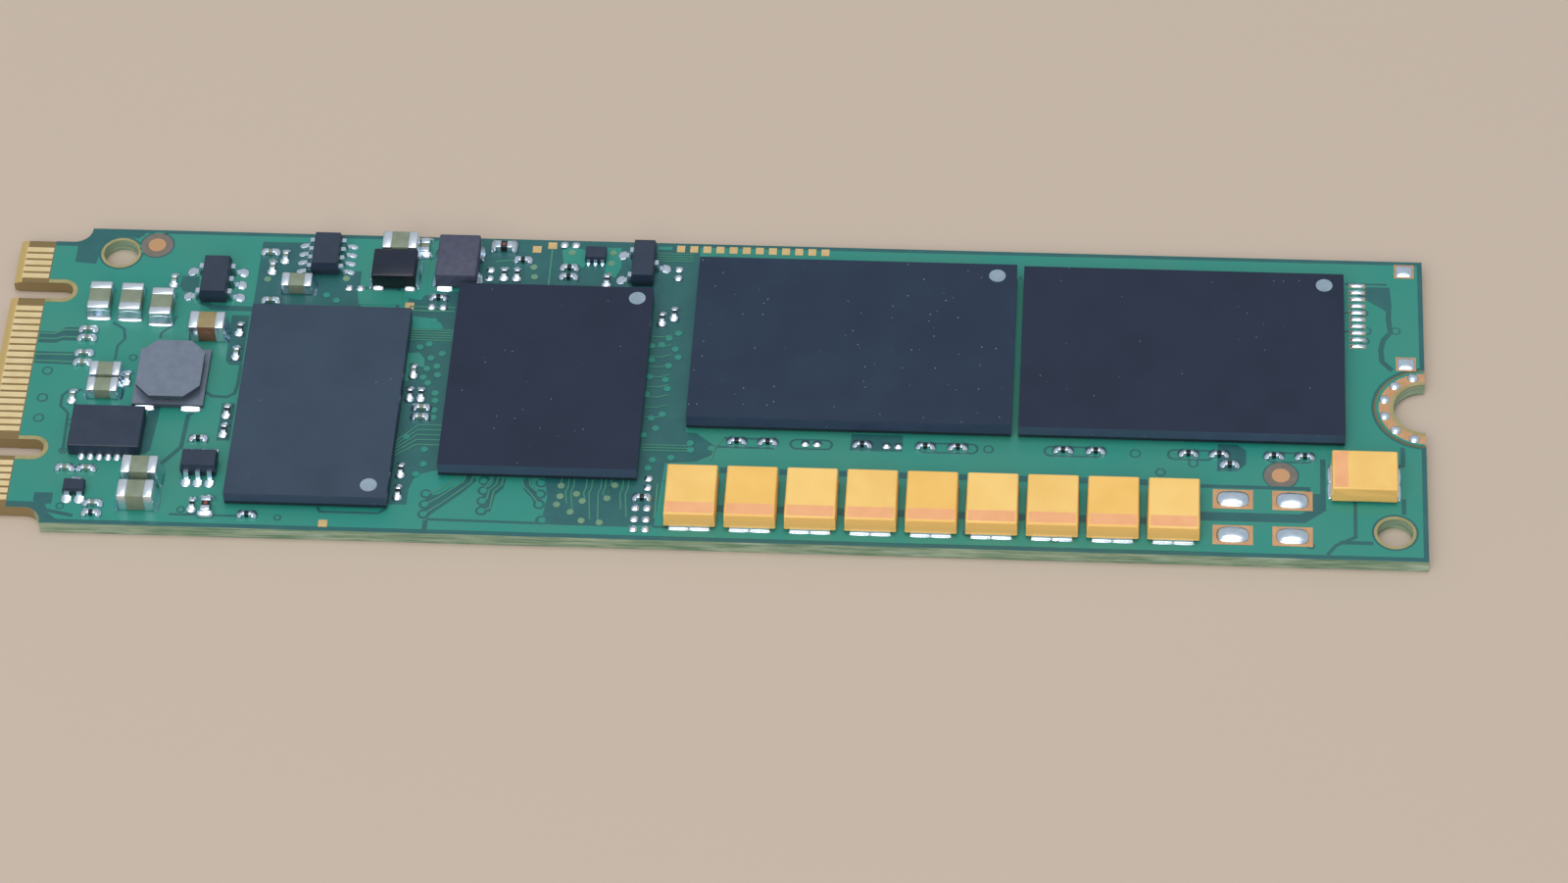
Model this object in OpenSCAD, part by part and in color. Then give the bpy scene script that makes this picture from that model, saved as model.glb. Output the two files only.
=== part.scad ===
// A 22 x 80 mm keyed card with a memory package, a controller and two flash packages.
// Millimetres. The origin is at the centre of the underside, +X runs from the edge contacts
// to the screw notch, +Y to the long edge that carries the row of test pads, and +Z is up.

/* [Card] */
// Length of the card from the contact edge to the screw end
card_l = 80; // [80:1:110]
// Width of the card
card_w = 22; // [22:1:30]
// Thickness of the board over copper and mask
board_t = 0.8; // [0.7:0.05:1.2]
// Thickness of a bare land, contact or ring of copper
foil_t = 0.03; // [0.02:0.01:0.05]
// Width of the tongue that enters the socket
tongue_w = 19.85; // [19.5:0.05:20]
// Length of the tongue up to the shoulders
tongue_l = 4; // [3.8:0.1:5]
// Radius of the fillet at each shoulder
shoulder_r = 1; // [0.2:0.1:1]
// Length of the bevel along the contact edge
bevel_l = 0.35; // [0.1:0.05:0.4]
// Depth of the bevel on each face
bevel_t = 0.15; // [0.05:0.05:0.25]

/* [Edge contacts] */
// Pitch of the contacts on one face
contact_pitch = 0.5; // [0.45:0.01:0.5]
// Width of one contact
contact_w = 0.35; // [0.2:0.05:0.4]
// Length of one contact
contact_l = 1.55; // [1:0.05:1.55]
// Distance from the contact edge to the contacts
contact_inset = 0.4; // [0.4:0.05:0.6]
// Gap between the inner ends of the contacts and the mask
mask_gap = 0.05; // [0.05:0.05:0.3]
// Width of each key notch
key_w = 1.2; // [1:0.05:1.4]
// Depth of each key notch from the contact edge
key_l = 3.5; // [2.5:0.1:3.8]

/* [Screw end] */
// Radius of the half round notch for the fixing screw
screw_r = 1.75; // [1.2:0.05:1.8]
// Inner radius of the copper ring round the notch
ring_in_r = 1.95; // [1.9:0.05:2.1]
// Outer radius of the copper ring
ring_out_r = 2.7; // [2.5:0.05:2.8]
// Width of the bare ring outside the copper
ring_relief = 0.15; // [0.05:0.05:0.2]
// Height of the solder dots on the ring
ring_dot_h = 0.12; // [0.05:0.01:0.2]
// Radius of a solder dot on the ring
ring_dot_r = 0.3; // [0.2:0.05:0.35]
// Radius of the two tooling holes
tooling_r = 1; // [0.6:0.05:1.1]
// Distance of the first tooling hole from the contact edge
tooling_1_u = 5.85; // [5.5:0.05:6]
// Distance of the first tooling hole from the back edge
tooling_1_in = 1.85; // [1.7:0.05:2]
// Distance of the second tooling hole from the screw end
tooling_2_u = 1.8; // [1.7:0.05:2]
// Distance of the second tooling hole from the front edge
tooling_2_in = 2; // [1.7:0.05:2.1]

/* [Packages] */
// Height of the solder balls under each package
ball_h = 0.15; // [0.1:0.01:0.3]
// Radius of a solder ball at its waist
ball_r = 0.2; // [0.15:0.01:0.22]
// Thickness of each package's substrate
substrate_t = 0.2; // [0.15:0.01:0.3]
// Memory package along the card
memory_l = 9; // [7:0.5:9]
// Memory package across the card
memory_w = 14; // [11:0.5:14]
// Memory package top above the board
memory_h = 1; // [0.8:0.05:1.3]
// Distance from the contact edge to the memory package
memory_u = 14.08; // [14:0.01:14.2]
// Memory package centre from the centre line of the card
memory_v = -2.37; // [-2.5:0.01:-2.2]
// Gap between the memory package and the controller
controller_gap = 2.57; // [2.5:0.01:2.6]
// Controller package along the card
controller_l = 11; // [9:0.5:11]
// Controller package across the card
controller_w = 13.5; // [11:0.5:13.5]
// Controller package top above the board
controller_h = 1.05; // [0.8:0.05:1.3]
// Controller package centre from the centre line of the card
controller_v = -0.15; // [-0.3:0.01:0]
// Gap between the controller and the first flash package
flash_u_gap = 2.47; // [2.4:0.01:2.5]
// Flash package along the card
flash_l = 18; // [14:0.5:18]
// Flash package across the card
flash_w = 12; // [10:0.5:13]
// First flash package top above the board
flash_1_h = 1.1; // [0.8:0.05:1.3]
// Second flash package top above the board
flash_2_h = 1; // [0.8:0.05:1.3]
// Distance from the back edge of the card to the flash packages
flash_in = 1.97; // [1.9:0.01:2.1]
// Gap between the two flash packages
flash_gap = 0.4; // [0.3:0.01:0.4]
// Radius of the round first-pin mark
mark_r = 0.5; // [0.3:0.05:0.6]
// Depth of the first-pin mark
mark_t = 0.03; // [0.02:0.01:0.05]

/* [Tantalum capacitors] */
// Case length
case_l = 3.7; // [3.2:0.1:3.7]
// Case width
case_w = 2.9; // [2:0.05:2.9]
// Case height above the board
case_h = 1.2; // [0.9:0.05:1.9]
// Inward lean of the case walls over the upper half
case_draft = 0.06; // [0.02:0.01:0.1]
// Thickness of a terminal strip
strap_t = 0.1; // [0.05:0.01:0.15]
// Height to which a terminal strip folds up the end of a case
strap_rise = 0.2; // [0.15:0.05:0.4]
// Width of a terminal strip
strap_w = 2.2; // [1.2:0.1:2.4]
// Length of a terminal's foot under the case
strap_foot = 0.8; // [0.5:0.1:1.2]
// Number of capacitors along the front edge
row_count = 9; // [1:1:9]
// Pitch of the capacitors along the front edge
row_pitch = 3.3; // [3.2:0.05:3.3]
// Distance from the front edge of the card to the row's centre line
row_in = 2.72; // [2.6:0.01:3]
// Distance of the tenth capacitor from the screw end
last_case_u = 3.45; // [3.4:0.05:3.6]
// Tenth capacitor's centre from the front edge
last_case_in = 5.45; // [5.4:0.05:5.6]

/* [Inductors] */
// Power inductor along the card
drum_l = 4; // [3.6:0.1:4.1]
// Power inductor across the card
drum_w = 4.15; // [3.6:0.05:4.2]
// Width of the power inductor's top flange along the card
drum_top_l = 3.6; // [3:0.1:3.9]
// Power inductor height above the board
drum_h = 1.05; // [0.9:0.05:1.6]
// Thickness of each flange
flange_t = 0.25; // [0.2:0.05:0.3]
// Radius of the core's post
post_r = 1; // [0.6:0.05:1.2]
// Outer radius of the winding
winding_r = 1.7; // [1.3:0.05:1.75]
// Thickness of the terminals under the inductors
terminal_t = 0.08; // [0.05:0.01:0.12]
// Height of the two small inductors above the board
choke_h = 1.2; // [0.9:0.05:1.3]

/* [Ceramic chips] */
// Length of the large ceramic capacitors
chip_l = 2; // [1.6:0.1:2]
// Width of the large ceramic capacitors
chip_w = 1.25; // [0.8:0.05:1.3]
// Height of the tall ceramic capacitors
chip_h = 1.25; // [0.8:0.05:1.3]
// Height of the three low ceramic capacitors by the key notch
low_chip_h = 0.85; // [0.6:0.05:1]
// Length of a medium ceramic capacitor
mid_l = 1.75; // [1.4:0.05:1.8]
// Width of a medium ceramic capacitor
mid_w = 1; // [0.7:0.05:1.05]
// Height of a medium ceramic capacitor
mid_h = 0.8; // [0.5:0.05:0.9]
// Length of a small chip
small_l = 0.6; // [0.4:0.05:0.7]
// Width of a small chip
small_w = 0.3; // [0.2:0.05:0.4]
// Height of a small chip
small_h = 0.3; // [0.2:0.05:0.4]
// Length of the three wider chips
wide_l = 1; // [0.8:0.05:1.05]
// Width of the three wider chips
wide_w = 0.5; // [0.4:0.05:0.55]
// Height of the three wider chips
wide_h = 0.45; // [0.25:0.05:0.5]
// Share of a chip's length that one end terminal covers
end_share = 0.25; // [0.15:0.01:0.3]
// Step from an end terminal down to the ceramic
end_step = 0.02; // [0.01:0.01:0.04]
// Chamfer along the edges of a large ceramic capacitor
chip_bevel = 0.08; // [0.04:0.01:0.12]

/* [Small integrated circuits] */
// Height of the five and eight lead circuits
sot_h = 1.05; // [0.8:0.05:1.2]
// Width of their moulded bodies
sot_w = 1.6; // [1.3:0.05:1.7]
// Length of the five lead body
five_l = 2.9; // [2.5:0.05:3]
// Length of the eight lead body
eight_l = 2.55; // [2.4:0.05:2.7]
// Span over the lead tips
sot_span = 2.85; // [2.6:0.05:3]
// Length of the six lead body
six_l = 2; // [1.8:0.05:2.1]
// Width of the six lead body
six_w = 1.25; // [1.1:0.05:1.3]
// Thickness of the leads
lead_t = 0.12; // [0.08:0.01:0.16]
// Width of the leads
lead_w = 0.35; // [0.2:0.05:0.4]
// Clearance between a moulded body and the board
stand_off = 0.06; // [0.03:0.01:0.12]
// Length of the leadless power circuit
power_l = 4; // [3.5:0.1:4]
// Width of the leadless power circuit
power_w = 3; // [2.5:0.1:3]
// Height of the leadless power circuit
power_h = 0.9; // [0.7:0.05:1]

/* [Lands] */
// Side of the small square test pads
pad_side = 0.5; // [0.35:0.05:0.55]
// Number of test pads in the row at the back edge
pad_count = 12; // [1:1:12]
// Pitch of the test pads
pad_pitch = 0.75; // [0.7:0.05:0.8]
// Radius of a fiducial's copper disc
fiducial_r = 0.5; // [0.3:0.05:0.6]
// Number of lands for the unfitted connector
land_count = 10; // [2:1:10]
// Pitch of the connector lands
land_pitch = 0.508; // [0.45:0.001:0.51]
// Distance from the second flash package to the middle of the connector lands
connector_gap = 0.8; // [0.7:0.05:0.9]
// Length of a connector land
land_l = 0.9; // [0.6:0.05:1]
// Width of a connector land
land_w = 0.3; // [0.15:0.05:0.35]
// Height of the solder on a land
solder_h = 0.1; // [0.05:0.01:0.2]
// Length of an unfitted capacitor's land along the card
spare_l = 2.2; // [1.5:0.05:2.3]
// Width of an unfitted capacitor's land across the card
spare_w = 1.37; // [1:0.01:1.4]
// Length of a small chip's land
open_l = 0.38; // [0.3:0.01:0.45]
// Width of a small chip's land
open_w = 0.4; // [0.3:0.01:0.45]
// Distance from the middle of a small chip's place to each of its lands
open_step = 0.33; // [0.25:0.01:0.4]

/* [Hidden] */
// Smoothness of round edges
$fn = 48;
// Overrun of a cut past the face it opens
over = 1;

// Places: u runs from the contact edge along the card, v from its centre line
contact_x = -card_l / 2;
screw_x = card_l / 2;
front_y = -card_w / 2;
back_y = card_w / 2;
mask_u = contact_inset + contact_l + mask_gap;
memory_end = memory_u + memory_l;
controller_u = memory_end + controller_gap;
controller_end = controller_u + controller_l;
flash_u = controller_end + flash_u_gap;
flash_v = back_y - flash_in - flash_w / 2;
flash_front = flash_v - flash_w / 2;
flash_end = flash_u + 2 * flash_l + flash_gap;
controller_back = controller_v + controller_w / 2;
row_v = front_y + row_in;
row_u = flash_u + 0.63;
shoulder_fillet = min(shoulder_r, (card_w - tongue_w) / 2, tongue_l / 2);

// Contact numbers run across the tongue, and two runs of them give way to the key notches
middle_contact = 38;
last_contact = 75;
first_key = [12, 19];
second_key = [59, 66];

module on_board(u, v) {
    translate([contact_x + u, v, board_t]) children();
}

module block(l, w, h) {
    translate([-l / 2, -w / 2, 0]) cube([l, w, h]);
}

// A block with a small chamfer along its upright and top edges
module bevelled_block(l, w, h, c) {
    intersection() {
        linear_extrude(h) polygon([
            [-l / 2 + c, -w / 2], [l / 2 - c, -w / 2], [l / 2, -w / 2 + c], [l / 2, w / 2 - c],
            [l / 2 - c, w / 2], [-l / 2 + c, w / 2], [-l / 2, w / 2 - c], [-l / 2, -w / 2 + c]]);
        along_y(w + over) polygon(hood(l, 0, h, c));
        along_x(l + over) polygon(hood(w, 0, h, c));
    }
}

function hood(l, z0, z1, c) = [
    [-l / 2, z0], [l / 2, z0], [l / 2, z1 - c], [l / 2 - c, z1], [-l / 2 + c, z1], [-l / 2, z1 - c]];

// A profile drawn across and up, carried along Y or along X
module along_y(w) {
    translate([0, w / 2, 0]) rotate([90, 0, 0]) linear_extrude(w) children();
}

module along_x(l) {
    translate([-l / 2, 0, 0]) rotate([90, 0, 90]) linear_extrude(l) children();
}

// Outline of a moulded case: the walls lean in above and below an upright band
function case_outline(l, z0, band_0, band_1, z1, draft) = [
    [-l / 2 + draft, z0], [l / 2 - draft, z0], [l / 2, band_0], [l / 2, band_1],
    [l / 2 - draft, z1], [-l / 2 + draft, z1], [-l / 2, band_1], [-l / 2, band_0]];

module moulded_case(l, w, h, lift, band, draft) {
    middle = (h + lift) / 2;
    intersection() {
        along_y(w + over)
            polygon(case_outline(l, lift, middle - band / 2, middle + band / 2, h, draft));
        along_x(l + over)
            polygon(case_outline(w, lift, middle - band / 2, middle + band / 2, h, draft));
    }
}

// A gull-wing lead that leaves a body's side at x = 0 and ends flat on the board
module gull_lead(reach, w, exit_z) {
    bend = reach * 0.35;
    foot = reach * 0.45;
    inner = min(lead_t * 0.7, bend);
    along_y(w) polygon([
        [0, exit_z + lead_t / 2], [bend, exit_z + lead_t / 2],
        [reach - foot, lead_t], [reach, lead_t], [reach, 0],
        [reach - foot - inner, 0], [bend - inner, exit_z - lead_t / 2], [0, exit_z - lead_t / 2]]);
}

function is_keyed(n) = (n >= first_key[0] && n <= first_key[1])
    || (n >= second_key[0] && n <= second_key[1]);
function contact_y(n) = (n - middle_contact) * contact_pitch / 2;
function key_y(run) = contact_y((run[0] + run[1]) / 2);

// Circuit board
module card_outline() {
    translate([contact_x, -tongue_w / 2]) square([tongue_l + over, tongue_w]);
    translate([contact_x + tongue_l, front_y]) square([card_l - tongue_l, card_w]);
    fillet_x = contact_x + tongue_l - shoulder_fillet;
    for (side = [-1, 1])
        difference() {
            translate([fillet_x, side * (tongue_w + shoulder_fillet) / 2 - shoulder_fillet / 2])
                square([shoulder_fillet + over, shoulder_fillet]);
            translate([fillet_x, side * (tongue_w / 2 + shoulder_fillet)])
                circle(shoulder_fillet);
        }
}

module key_notch(y) {
    translate([contact_x - over, y - key_w / 2, -over])
        cube([key_l + over - key_w / 2, key_w, board_t + 2 * over]);
    translate([contact_x + key_l - key_w / 2, y, -over]) cylinder(r = key_w / 2, h = board_t + 2 * over);
}

module edge_bevel() {
    along_y(card_w) polygon([
        [contact_x - over, -over], [contact_x - over, bevel_t], [contact_x, bevel_t],
        [contact_x + bevel_l, 0], [contact_x + bevel_l, -over]]);
}

module circuit_board() {
    color("seagreen") difference() {
        linear_extrude(board_t) card_outline();
        key_notch(key_y(first_key));
        key_notch(key_y(second_key));
        edge_bevel();
        translate([0, 0, board_t]) mirror([0, 0, 1]) edge_bevel();
        // the contacts lie on bare laminate on both faces
        translate([contact_x - over, front_y, board_t - foil_t]) cube([mask_u + over, card_w, over]);
        translate([contact_x - over, front_y, foil_t - over]) cube([mask_u + over, card_w, over]);
        translate([screw_x, 0, -over]) cylinder(r = screw_r, h = board_t + 2 * over);
        translate([screw_x, 0, board_t - foil_t]) cylinder(r = ring_out_r + ring_relief, h = over);
        translate([screw_x, 0, foil_t - over]) cylinder(r = ring_out_r + ring_relief, h = over);
        translate([contact_x + tooling_1_u, back_y - tooling_1_in, -over])
            cylinder(r = tooling_r, h = board_t + 2 * over);
        translate([screw_x - tooling_2_u, front_y + tooling_2_in, -over])
            cylinder(r = tooling_r, h = board_t + 2 * over);
    }
}

module edge_contacts(first, z) {
    for (n = [first:2:last_contact])
        if (!is_keyed(n))
            translate([contact_x + contact_inset, contact_y(n) - contact_w / 2, z])
                cube([contact_l, contact_w, foil_t]);
}

module top_edge_contacts() {
    color("tan") edge_contacts(1, board_t - foil_t);
}

module bottom_edge_contacts() {
    color("tan") edge_contacts(2, 0);
}

// Copper ring round the screw notch, with dots of solder on its upper face
module screw_ring(z) {
    translate([screw_x, 0, z]) difference() {
        cylinder(r = ring_out_r, h = foil_t);
        translate([0, 0, -over]) cylinder(r = ring_in_r, h = foil_t + 2 * over);
        translate([0, -card_w, -over]) cube([card_w, 2 * card_w, foil_t + 2 * over]);
    }
}

module top_screw_ring() {
    color("peru") screw_ring(board_t - foil_t);
}

module bottom_screw_ring() {
    color("peru") screw_ring(0);
}

module screw_ring_solder() {
    color("lightsteelblue") for (i = [0:5])
        translate([screw_x, 0, board_t]) rotate([0, 0, 106 + 29.6 * i])
            translate([(ring_in_r + ring_out_r) / 2, 0, 0]) solder_dome(ring_dot_r, ring_dot_h);
}

// A cap of solder of the given foot radius and height
module solder_dome(r, h) {
    dome_r = (r * r + h * h) / (2 * h);
    intersection() {
        translate([0, 0, h - dome_r]) sphere(r = dome_r);
        cylinder(r = r + over, h = h + over);
    }
}

// Ball grid packages: solder balls, a thin substrate, and a moulded body sawn flush with it
module package_body(l, w, h, mark_u, mark_v) {
    difference() {
        translate([0, 0, ball_h + substrate_t]) block(l, w, h - ball_h - substrate_t);
        translate([mark_u, mark_v, h - mark_t]) cylinder(r = mark_r, h = over);
    }
}

module package_substrate(l, w) {
    translate([0, 0, ball_h]) block(l, w, substrate_t);
}

module ball_field(columns, rows, pitch) {
    intersection() {
        for (i = columns, j = rows)
            translate([i * pitch, j * pitch, ball_h / 2]) sphere(r = ball_r);
        block(card_l, card_w, ball_h);
    }
}

module at_memory() {
    on_board(memory_u + memory_l / 2, memory_v) children();
}

module at_controller() {
    on_board(controller_u + controller_l / 2, controller_v) children();
}

module at_flash(index) {
    on_board(flash_u + flash_l / 2 + index * (flash_l + flash_gap), flash_v) children();
}

module memory_body() {
    color("slategray") at_memory()
        package_body(memory_l, memory_w, memory_h, memory_l / 2 - 1.06, 0.92 - memory_w / 2);
}

module memory_substrate() {
    color("darkolivegreen") at_memory() package_substrate(memory_l, memory_w);
}

module memory_balls() {
    color("silver") at_memory()
        ball_field([-4, -3, -2, 2, 3, 4], [for (j = [-7.5:1:7.5]) j], min(memory_l, memory_w * 0.6) / 11.25);
}

module controller_body() {
    color("darkslateblue") at_controller()
        package_body(controller_l, controller_w, controller_h,
            controller_l / 2 - 0.87, controller_w / 2 - 0.8);
}

module controller_substrate() {
    color("darkolivegreen") at_controller() package_substrate(controller_l, controller_w);
}

module controller_balls() {
    color("silver") at_controller()
        ball_field([-6:6], [-7.5:7.5], min(controller_l, controller_w * 0.8) / 13.75);
}

module flash_body(index, h) {
    at_flash(index) package_body(flash_l, flash_w, h, flash_l / 2 - 1.1, flash_w / 2 - 0.85);
}

module flash_balls(index) {
    at_flash(index) ball_field([-7.5, -6.5, -3.5, -2.5, -1.5, -0.5, 0.5, 1.5, 2.5, 3.5, 6.5, 7.5],
        [-5:5], min(flash_l / 18, flash_w / 12));
}

module flash_1_body() {
    color("midnightblue") flash_body(0, flash_1_h);
}

module flash_1_substrate() {
    color("darkolivegreen") at_flash(0) package_substrate(flash_l, flash_w);
}

module flash_1_balls() {
    color("silver") flash_balls(0);
}

module flash_2_body() {
    color("midnightblue") flash_body(1, flash_2_h);
}

module flash_2_substrate() {
    color("darkolivegreen") at_flash(1) package_substrate(flash_l, flash_w);
}

module flash_2_balls() {
    color("silver") flash_balls(1);
}

// Tantalum capacitors: a moulded case on two strips that fold down its ends and under it
module at_tantalum(index) {
    if (index < row_count)
        on_board(row_u + index * row_pitch, row_v) rotate([0, 0, 90]) children();
    if (index == 9)
        translate([screw_x - last_case_u, front_y + last_case_in, board_t]) children();
}

case_waist = case_h / 2;

module tantalum_case() {
    lower_l = case_l - 2 * strap_t;
    intersection() {
        along_y(case_w + over) polygon([
            [-lower_l / 2, strap_t], [lower_l / 2, strap_t], [lower_l / 2, strap_rise],
            [case_l / 2, strap_rise], [case_l / 2, case_waist], [case_l / 2 - case_draft, case_h],
            [-case_l / 2 + case_draft, case_h], [-case_l / 2, case_waist],
            [-case_l / 2, strap_rise], [-lower_l / 2, strap_rise]]);
        along_x(case_l + over)
            polygon(case_outline(case_w, strap_t, case_waist, case_waist + strap_t, case_h, case_draft));
    }
}

module tantalum_capacitor(index) {
    color("sandybrown") at_tantalum(index - 1) tantalum_case();
}

module terminal_strap() {
    along_y(strap_w) polygon([
        [-case_l / 2, 0], [-case_l / 2 + strap_foot, 0], [-case_l / 2 + strap_foot, strap_t],
        [-case_l / 2 + strap_t, strap_t], [-case_l / 2 + strap_t, strap_rise],
        [-case_l / 2, strap_rise]]);
}

module tantalum_terminals() {
    color("gainsboro") for (index = [0:9])
        at_tantalum(index) {
            terminal_strap();
            mirror([1, 0, 0]) terminal_strap();
        }
}

// Power inductor: a drum core with a square lower flange and an eight sided upper one
module at_drum() {
    on_board(10.03, -0.4) children();
}

module power_inductor_core() {
    corner = drum_top_l * 0.23;
    color("slategray") at_drum() {
        translate([0, 0, terminal_t]) block(drum_l, drum_w, flange_t);
        translate([0, 0, terminal_t + flange_t])
            cylinder(r = post_r, h = drum_h - terminal_t - 2 * flange_t);
        translate([0, 0, drum_h - flange_t]) linear_extrude(flange_t) polygon([
            [-drum_top_l / 2 + corner, -drum_w / 2], [drum_top_l / 2 - corner, -drum_w / 2],
            [drum_top_l / 2, -drum_w / 2 + corner], [drum_top_l / 2, drum_w / 2 - corner],
            [drum_top_l / 2 - corner, drum_w / 2], [-drum_top_l / 2 + corner, drum_w / 2],
            [-drum_top_l / 2, drum_w / 2 - corner], [-drum_top_l / 2, -drum_w / 2 + corner]]);
    }
}

module power_inductor_winding() {
    color("black") at_drum() translate([0, 0, terminal_t + flange_t]) difference() {
        cylinder(r = winding_r, h = drum_h - terminal_t - 2 * flange_t);
        translate([0, 0, -over]) cylinder(r = post_r, h = drum_h + 2 * over);
    }
}

module power_inductor_terminals() {
    color("gainsboro") at_drum() for (side = [-1, 1])
        translate([side * drum_l * 0.34, 0, 0]) block(drum_l * 0.3, drum_w, terminal_t);
}

// Two small moulded inductors near the back edge
black_l = 2.5;
black_w = 2.1;
brown_l = 2.35;
brown_w = 3.15;
brown_gap = 0.455;

module at_black_choke() {
    on_board(memory_u + 7.72, back_y - 3.07) children();
}

module at_brown_choke() {
    on_board(memory_u + 11.27, controller_back + brown_gap + brown_w / 2) children();
}

module black_choke_body() {
    color("black") at_black_choke() translate([0, 0, terminal_t])
        bevelled_block(black_l, black_w, choke_h - terminal_t, 0.1);
}

module brown_choke_body() {
    color("dimgray") at_brown_choke() translate([0, 0, terminal_t])
        bevelled_block(brown_l, brown_w, choke_h - terminal_t, 0.1);
}

module choke_terminals() {
    color("gainsboro") {
        at_black_choke() for (side = [-1, 1])
            translate([side * black_l * 0.36, 0, 0]) block(black_l * 0.28, black_w * 0.9, terminal_t);
        at_brown_choke() for (side = [-1, 1], end = [-1, 1])
            translate([side * brown_l * 0.36, end * brown_w * 0.34, 0])
                block(brown_l * 0.28, brown_w * 0.3, terminal_t);
    }
}

// Large ceramic capacitors as [u, v, turn, length, width, height]
ceramic_places = [
    [5.25, 5.2, 90, chip_l, chip_w, low_chip_h],
    [7.05, 5.15, 90, chip_l, chip_w, low_chip_h],
    [8.82, 4.85, 90, chip_l, chip_w, low_chip_h],
    [11.66, 3.15, 0, chip_l, chip_w, chip_h],
    [9.25, -7.6, 0, chip_l, chip_w, chip_h],
    [9.25, -9.35, 0, chip_l, chip_w, chip_h],
    [6.3, -0.27, 0, mid_l, mid_w, mid_h],
    [6.3, -1.45, 0, mid_l, mid_w, mid_h],
    [memory_u + 2.22, back_y - 4.2, 0, mid_l, mid_w, mid_h],
    [memory_u + 7.88, back_y - 1.35, 0, chip_l, chip_w, chip_h]];

module at_chip(place) {
    on_board(place[0], place[1]) rotate([0, 0, place[2]]) children();
}

// The ceramic between the terminals, a step below them all round
module ceramic_middle(l, w, h) {
    middle = l * (1 - 2 * end_share);
    translate([0, 0, end_step]) block(middle, w - 2 * end_step, h - 2 * end_step);
}

module end_terminals(l, w, h) {
    end = l * end_share;
    difference() {
        bevelled_block(l, w, h, chip_bevel);
        translate([0, 0, -over]) block(l - 2 * end, w + over, h + 2 * over);
    }
}

module ceramic_capacitors() {
    color("darkkhaki") for (place = ceramic_places)
        at_chip(place) ceramic_middle(place[3], place[4], place[5]);
}

module ceramic_capacitor_terminals() {
    color("gainsboro") for (place = ceramic_places)
        at_chip(place) end_terminals(place[3], place[4], place[5]);
}

// Small chips as [u, v, turn], with 0 for terminals along the card and 90 for across it
by_contacts = [
    [9.2, 7.06, 90], [4.8, 3.15, 0], [4.8, 2.5, 0], [4.8, 1.36, 0], [4.8, 0.65, 0],
    [7.5, -0.4, 90], [4.6, -1.85, 90], [4.9, -7.1, 0], [6.1, -7.1, 0], [6.8, -9.6, 0], [13.4, 1.7, 90]];
behind_memory = [[0.37, 1.6, 0], [1.27, 1.9, 90], [0.62, 2.75, 90], [0.8, 5.3, 0]];
beside_memory = [[0.46, 0.7, 90], [1.17, -2.02, 0], [1.17, -2.7, 0]];

capacitor_places = concat(
    by_contacts,
    [for (p = behind_memory) [memory_u + p[0], back_y - p[1], p[2]]],
    [for (p = beside_memory) [memory_end + p[0], p[1], p[2]]]);
wide_capacitor_places = [[memory_u + 9.22, back_y - 1, 90]];

resistors_by_contacts = [
    [6.8, -10.3, 0], [12.3, -9.5, 90], [12.05, -4.73, 0], [13.4, 3.5, 90], [13.4, -2.65, 90], [13.4, -4.05, 90]];
resistor_before_memory = [1.32, 0.9, 0];
resistors_beside_memory = [[0.42, -1.02, 90], [1.05, -1.02, 90], [0.47, -6.6, 90], [0.47, -8.2, 90]];
resistor_beside_controller = [-1.25, 0.35, 0];
resistors_behind_controller = [[3.3, 1.7, 0], [6, 2.2, 0], [6, 2.9, 0], [2.32, 2.8, 90], [3.05, 2.8, 90]];
resistor_beside_diode = [-5.27, 1.3, 90];
resistors_beside_flash = [[-1.25, 5.5, 90], [-1.92, 5.1, 90], [-2.1, -8.1, 0]];
row_before_flash = [2.85, 4.57, 9.8, 13.3, 15.1, 20.9, 22.7, 27.8, 29.5, 32.5, 34.2];
row_drop = 0.85;
second_row_drop = 1.57;
function along_flash(d) = flash_u + d * flash_l / 18;

resistor_places = concat(
    resistors_by_contacts,
    [[memory_u + resistor_before_memory[0], front_y + resistor_before_memory[1], 0]],
    [for (p = resistors_beside_memory) [memory_end + p[0], p[1], p[2]]],
    [[controller_u + resistor_beside_controller[0], controller_back - resistor_beside_controller[1], 0]],
    [for (p = resistors_behind_controller) [controller_u + p[0], back_y - p[1], p[2]]],
    [[flash_u + resistor_beside_diode[0], controller_back + resistor_beside_diode[1], 90]],
    [for (p = resistors_beside_flash) [flash_u + p[0], p[1], p[2]]],
    [for (d = row_before_flash) [along_flash(d), flash_front - row_drop, 0]],
    [[along_flash(30.08), flash_front - second_row_drop, 0]]);
wide_resistor_places = [[13.1, -9.6, 90], [controller_u + 2.15, back_y - 0.77, 0]];

module small_capacitors() {
    color("tan") {
        for (place = capacitor_places) at_chip(place) ceramic_middle(small_l, small_w, small_h);
        for (place = wide_capacitor_places) at_chip(place) ceramic_middle(wide_l, wide_w, wide_h);
    }
}

module small_resistors() {
    color("black") {
        for (place = resistor_places) at_chip(place) ceramic_middle(small_l, small_w, small_h);
        for (place = wide_resistor_places) at_chip(place) ceramic_middle(wide_l, wide_w, wide_h);
    }
}

module terminal_pair(l, w, h) {
    end = l * end_share;
    for (side = [-1, 1])
        translate([side * (l - end) / 2, 0, 0]) block(end, w, h);
}

module small_chip_terminals() {
    color("gainsboro") {
        for (place = concat(capacitor_places, resistor_places))
            at_chip(place) terminal_pair(small_l, small_w, small_h);
        for (place = concat(wide_capacitor_places, wide_resistor_places))
            at_chip(place) terminal_pair(wide_l, wide_w, wide_h);
    }
}

// Small circuits in moulded bodies with gull-wing leads
module at_five() {
    on_board(11.63, 6.85) children();
}

module at_eight() {
    on_board(memory_u + 3.67, back_y - 1.97) children();
}

module at_six() {
    on_board(12.4, -6.78) children();
}

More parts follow.
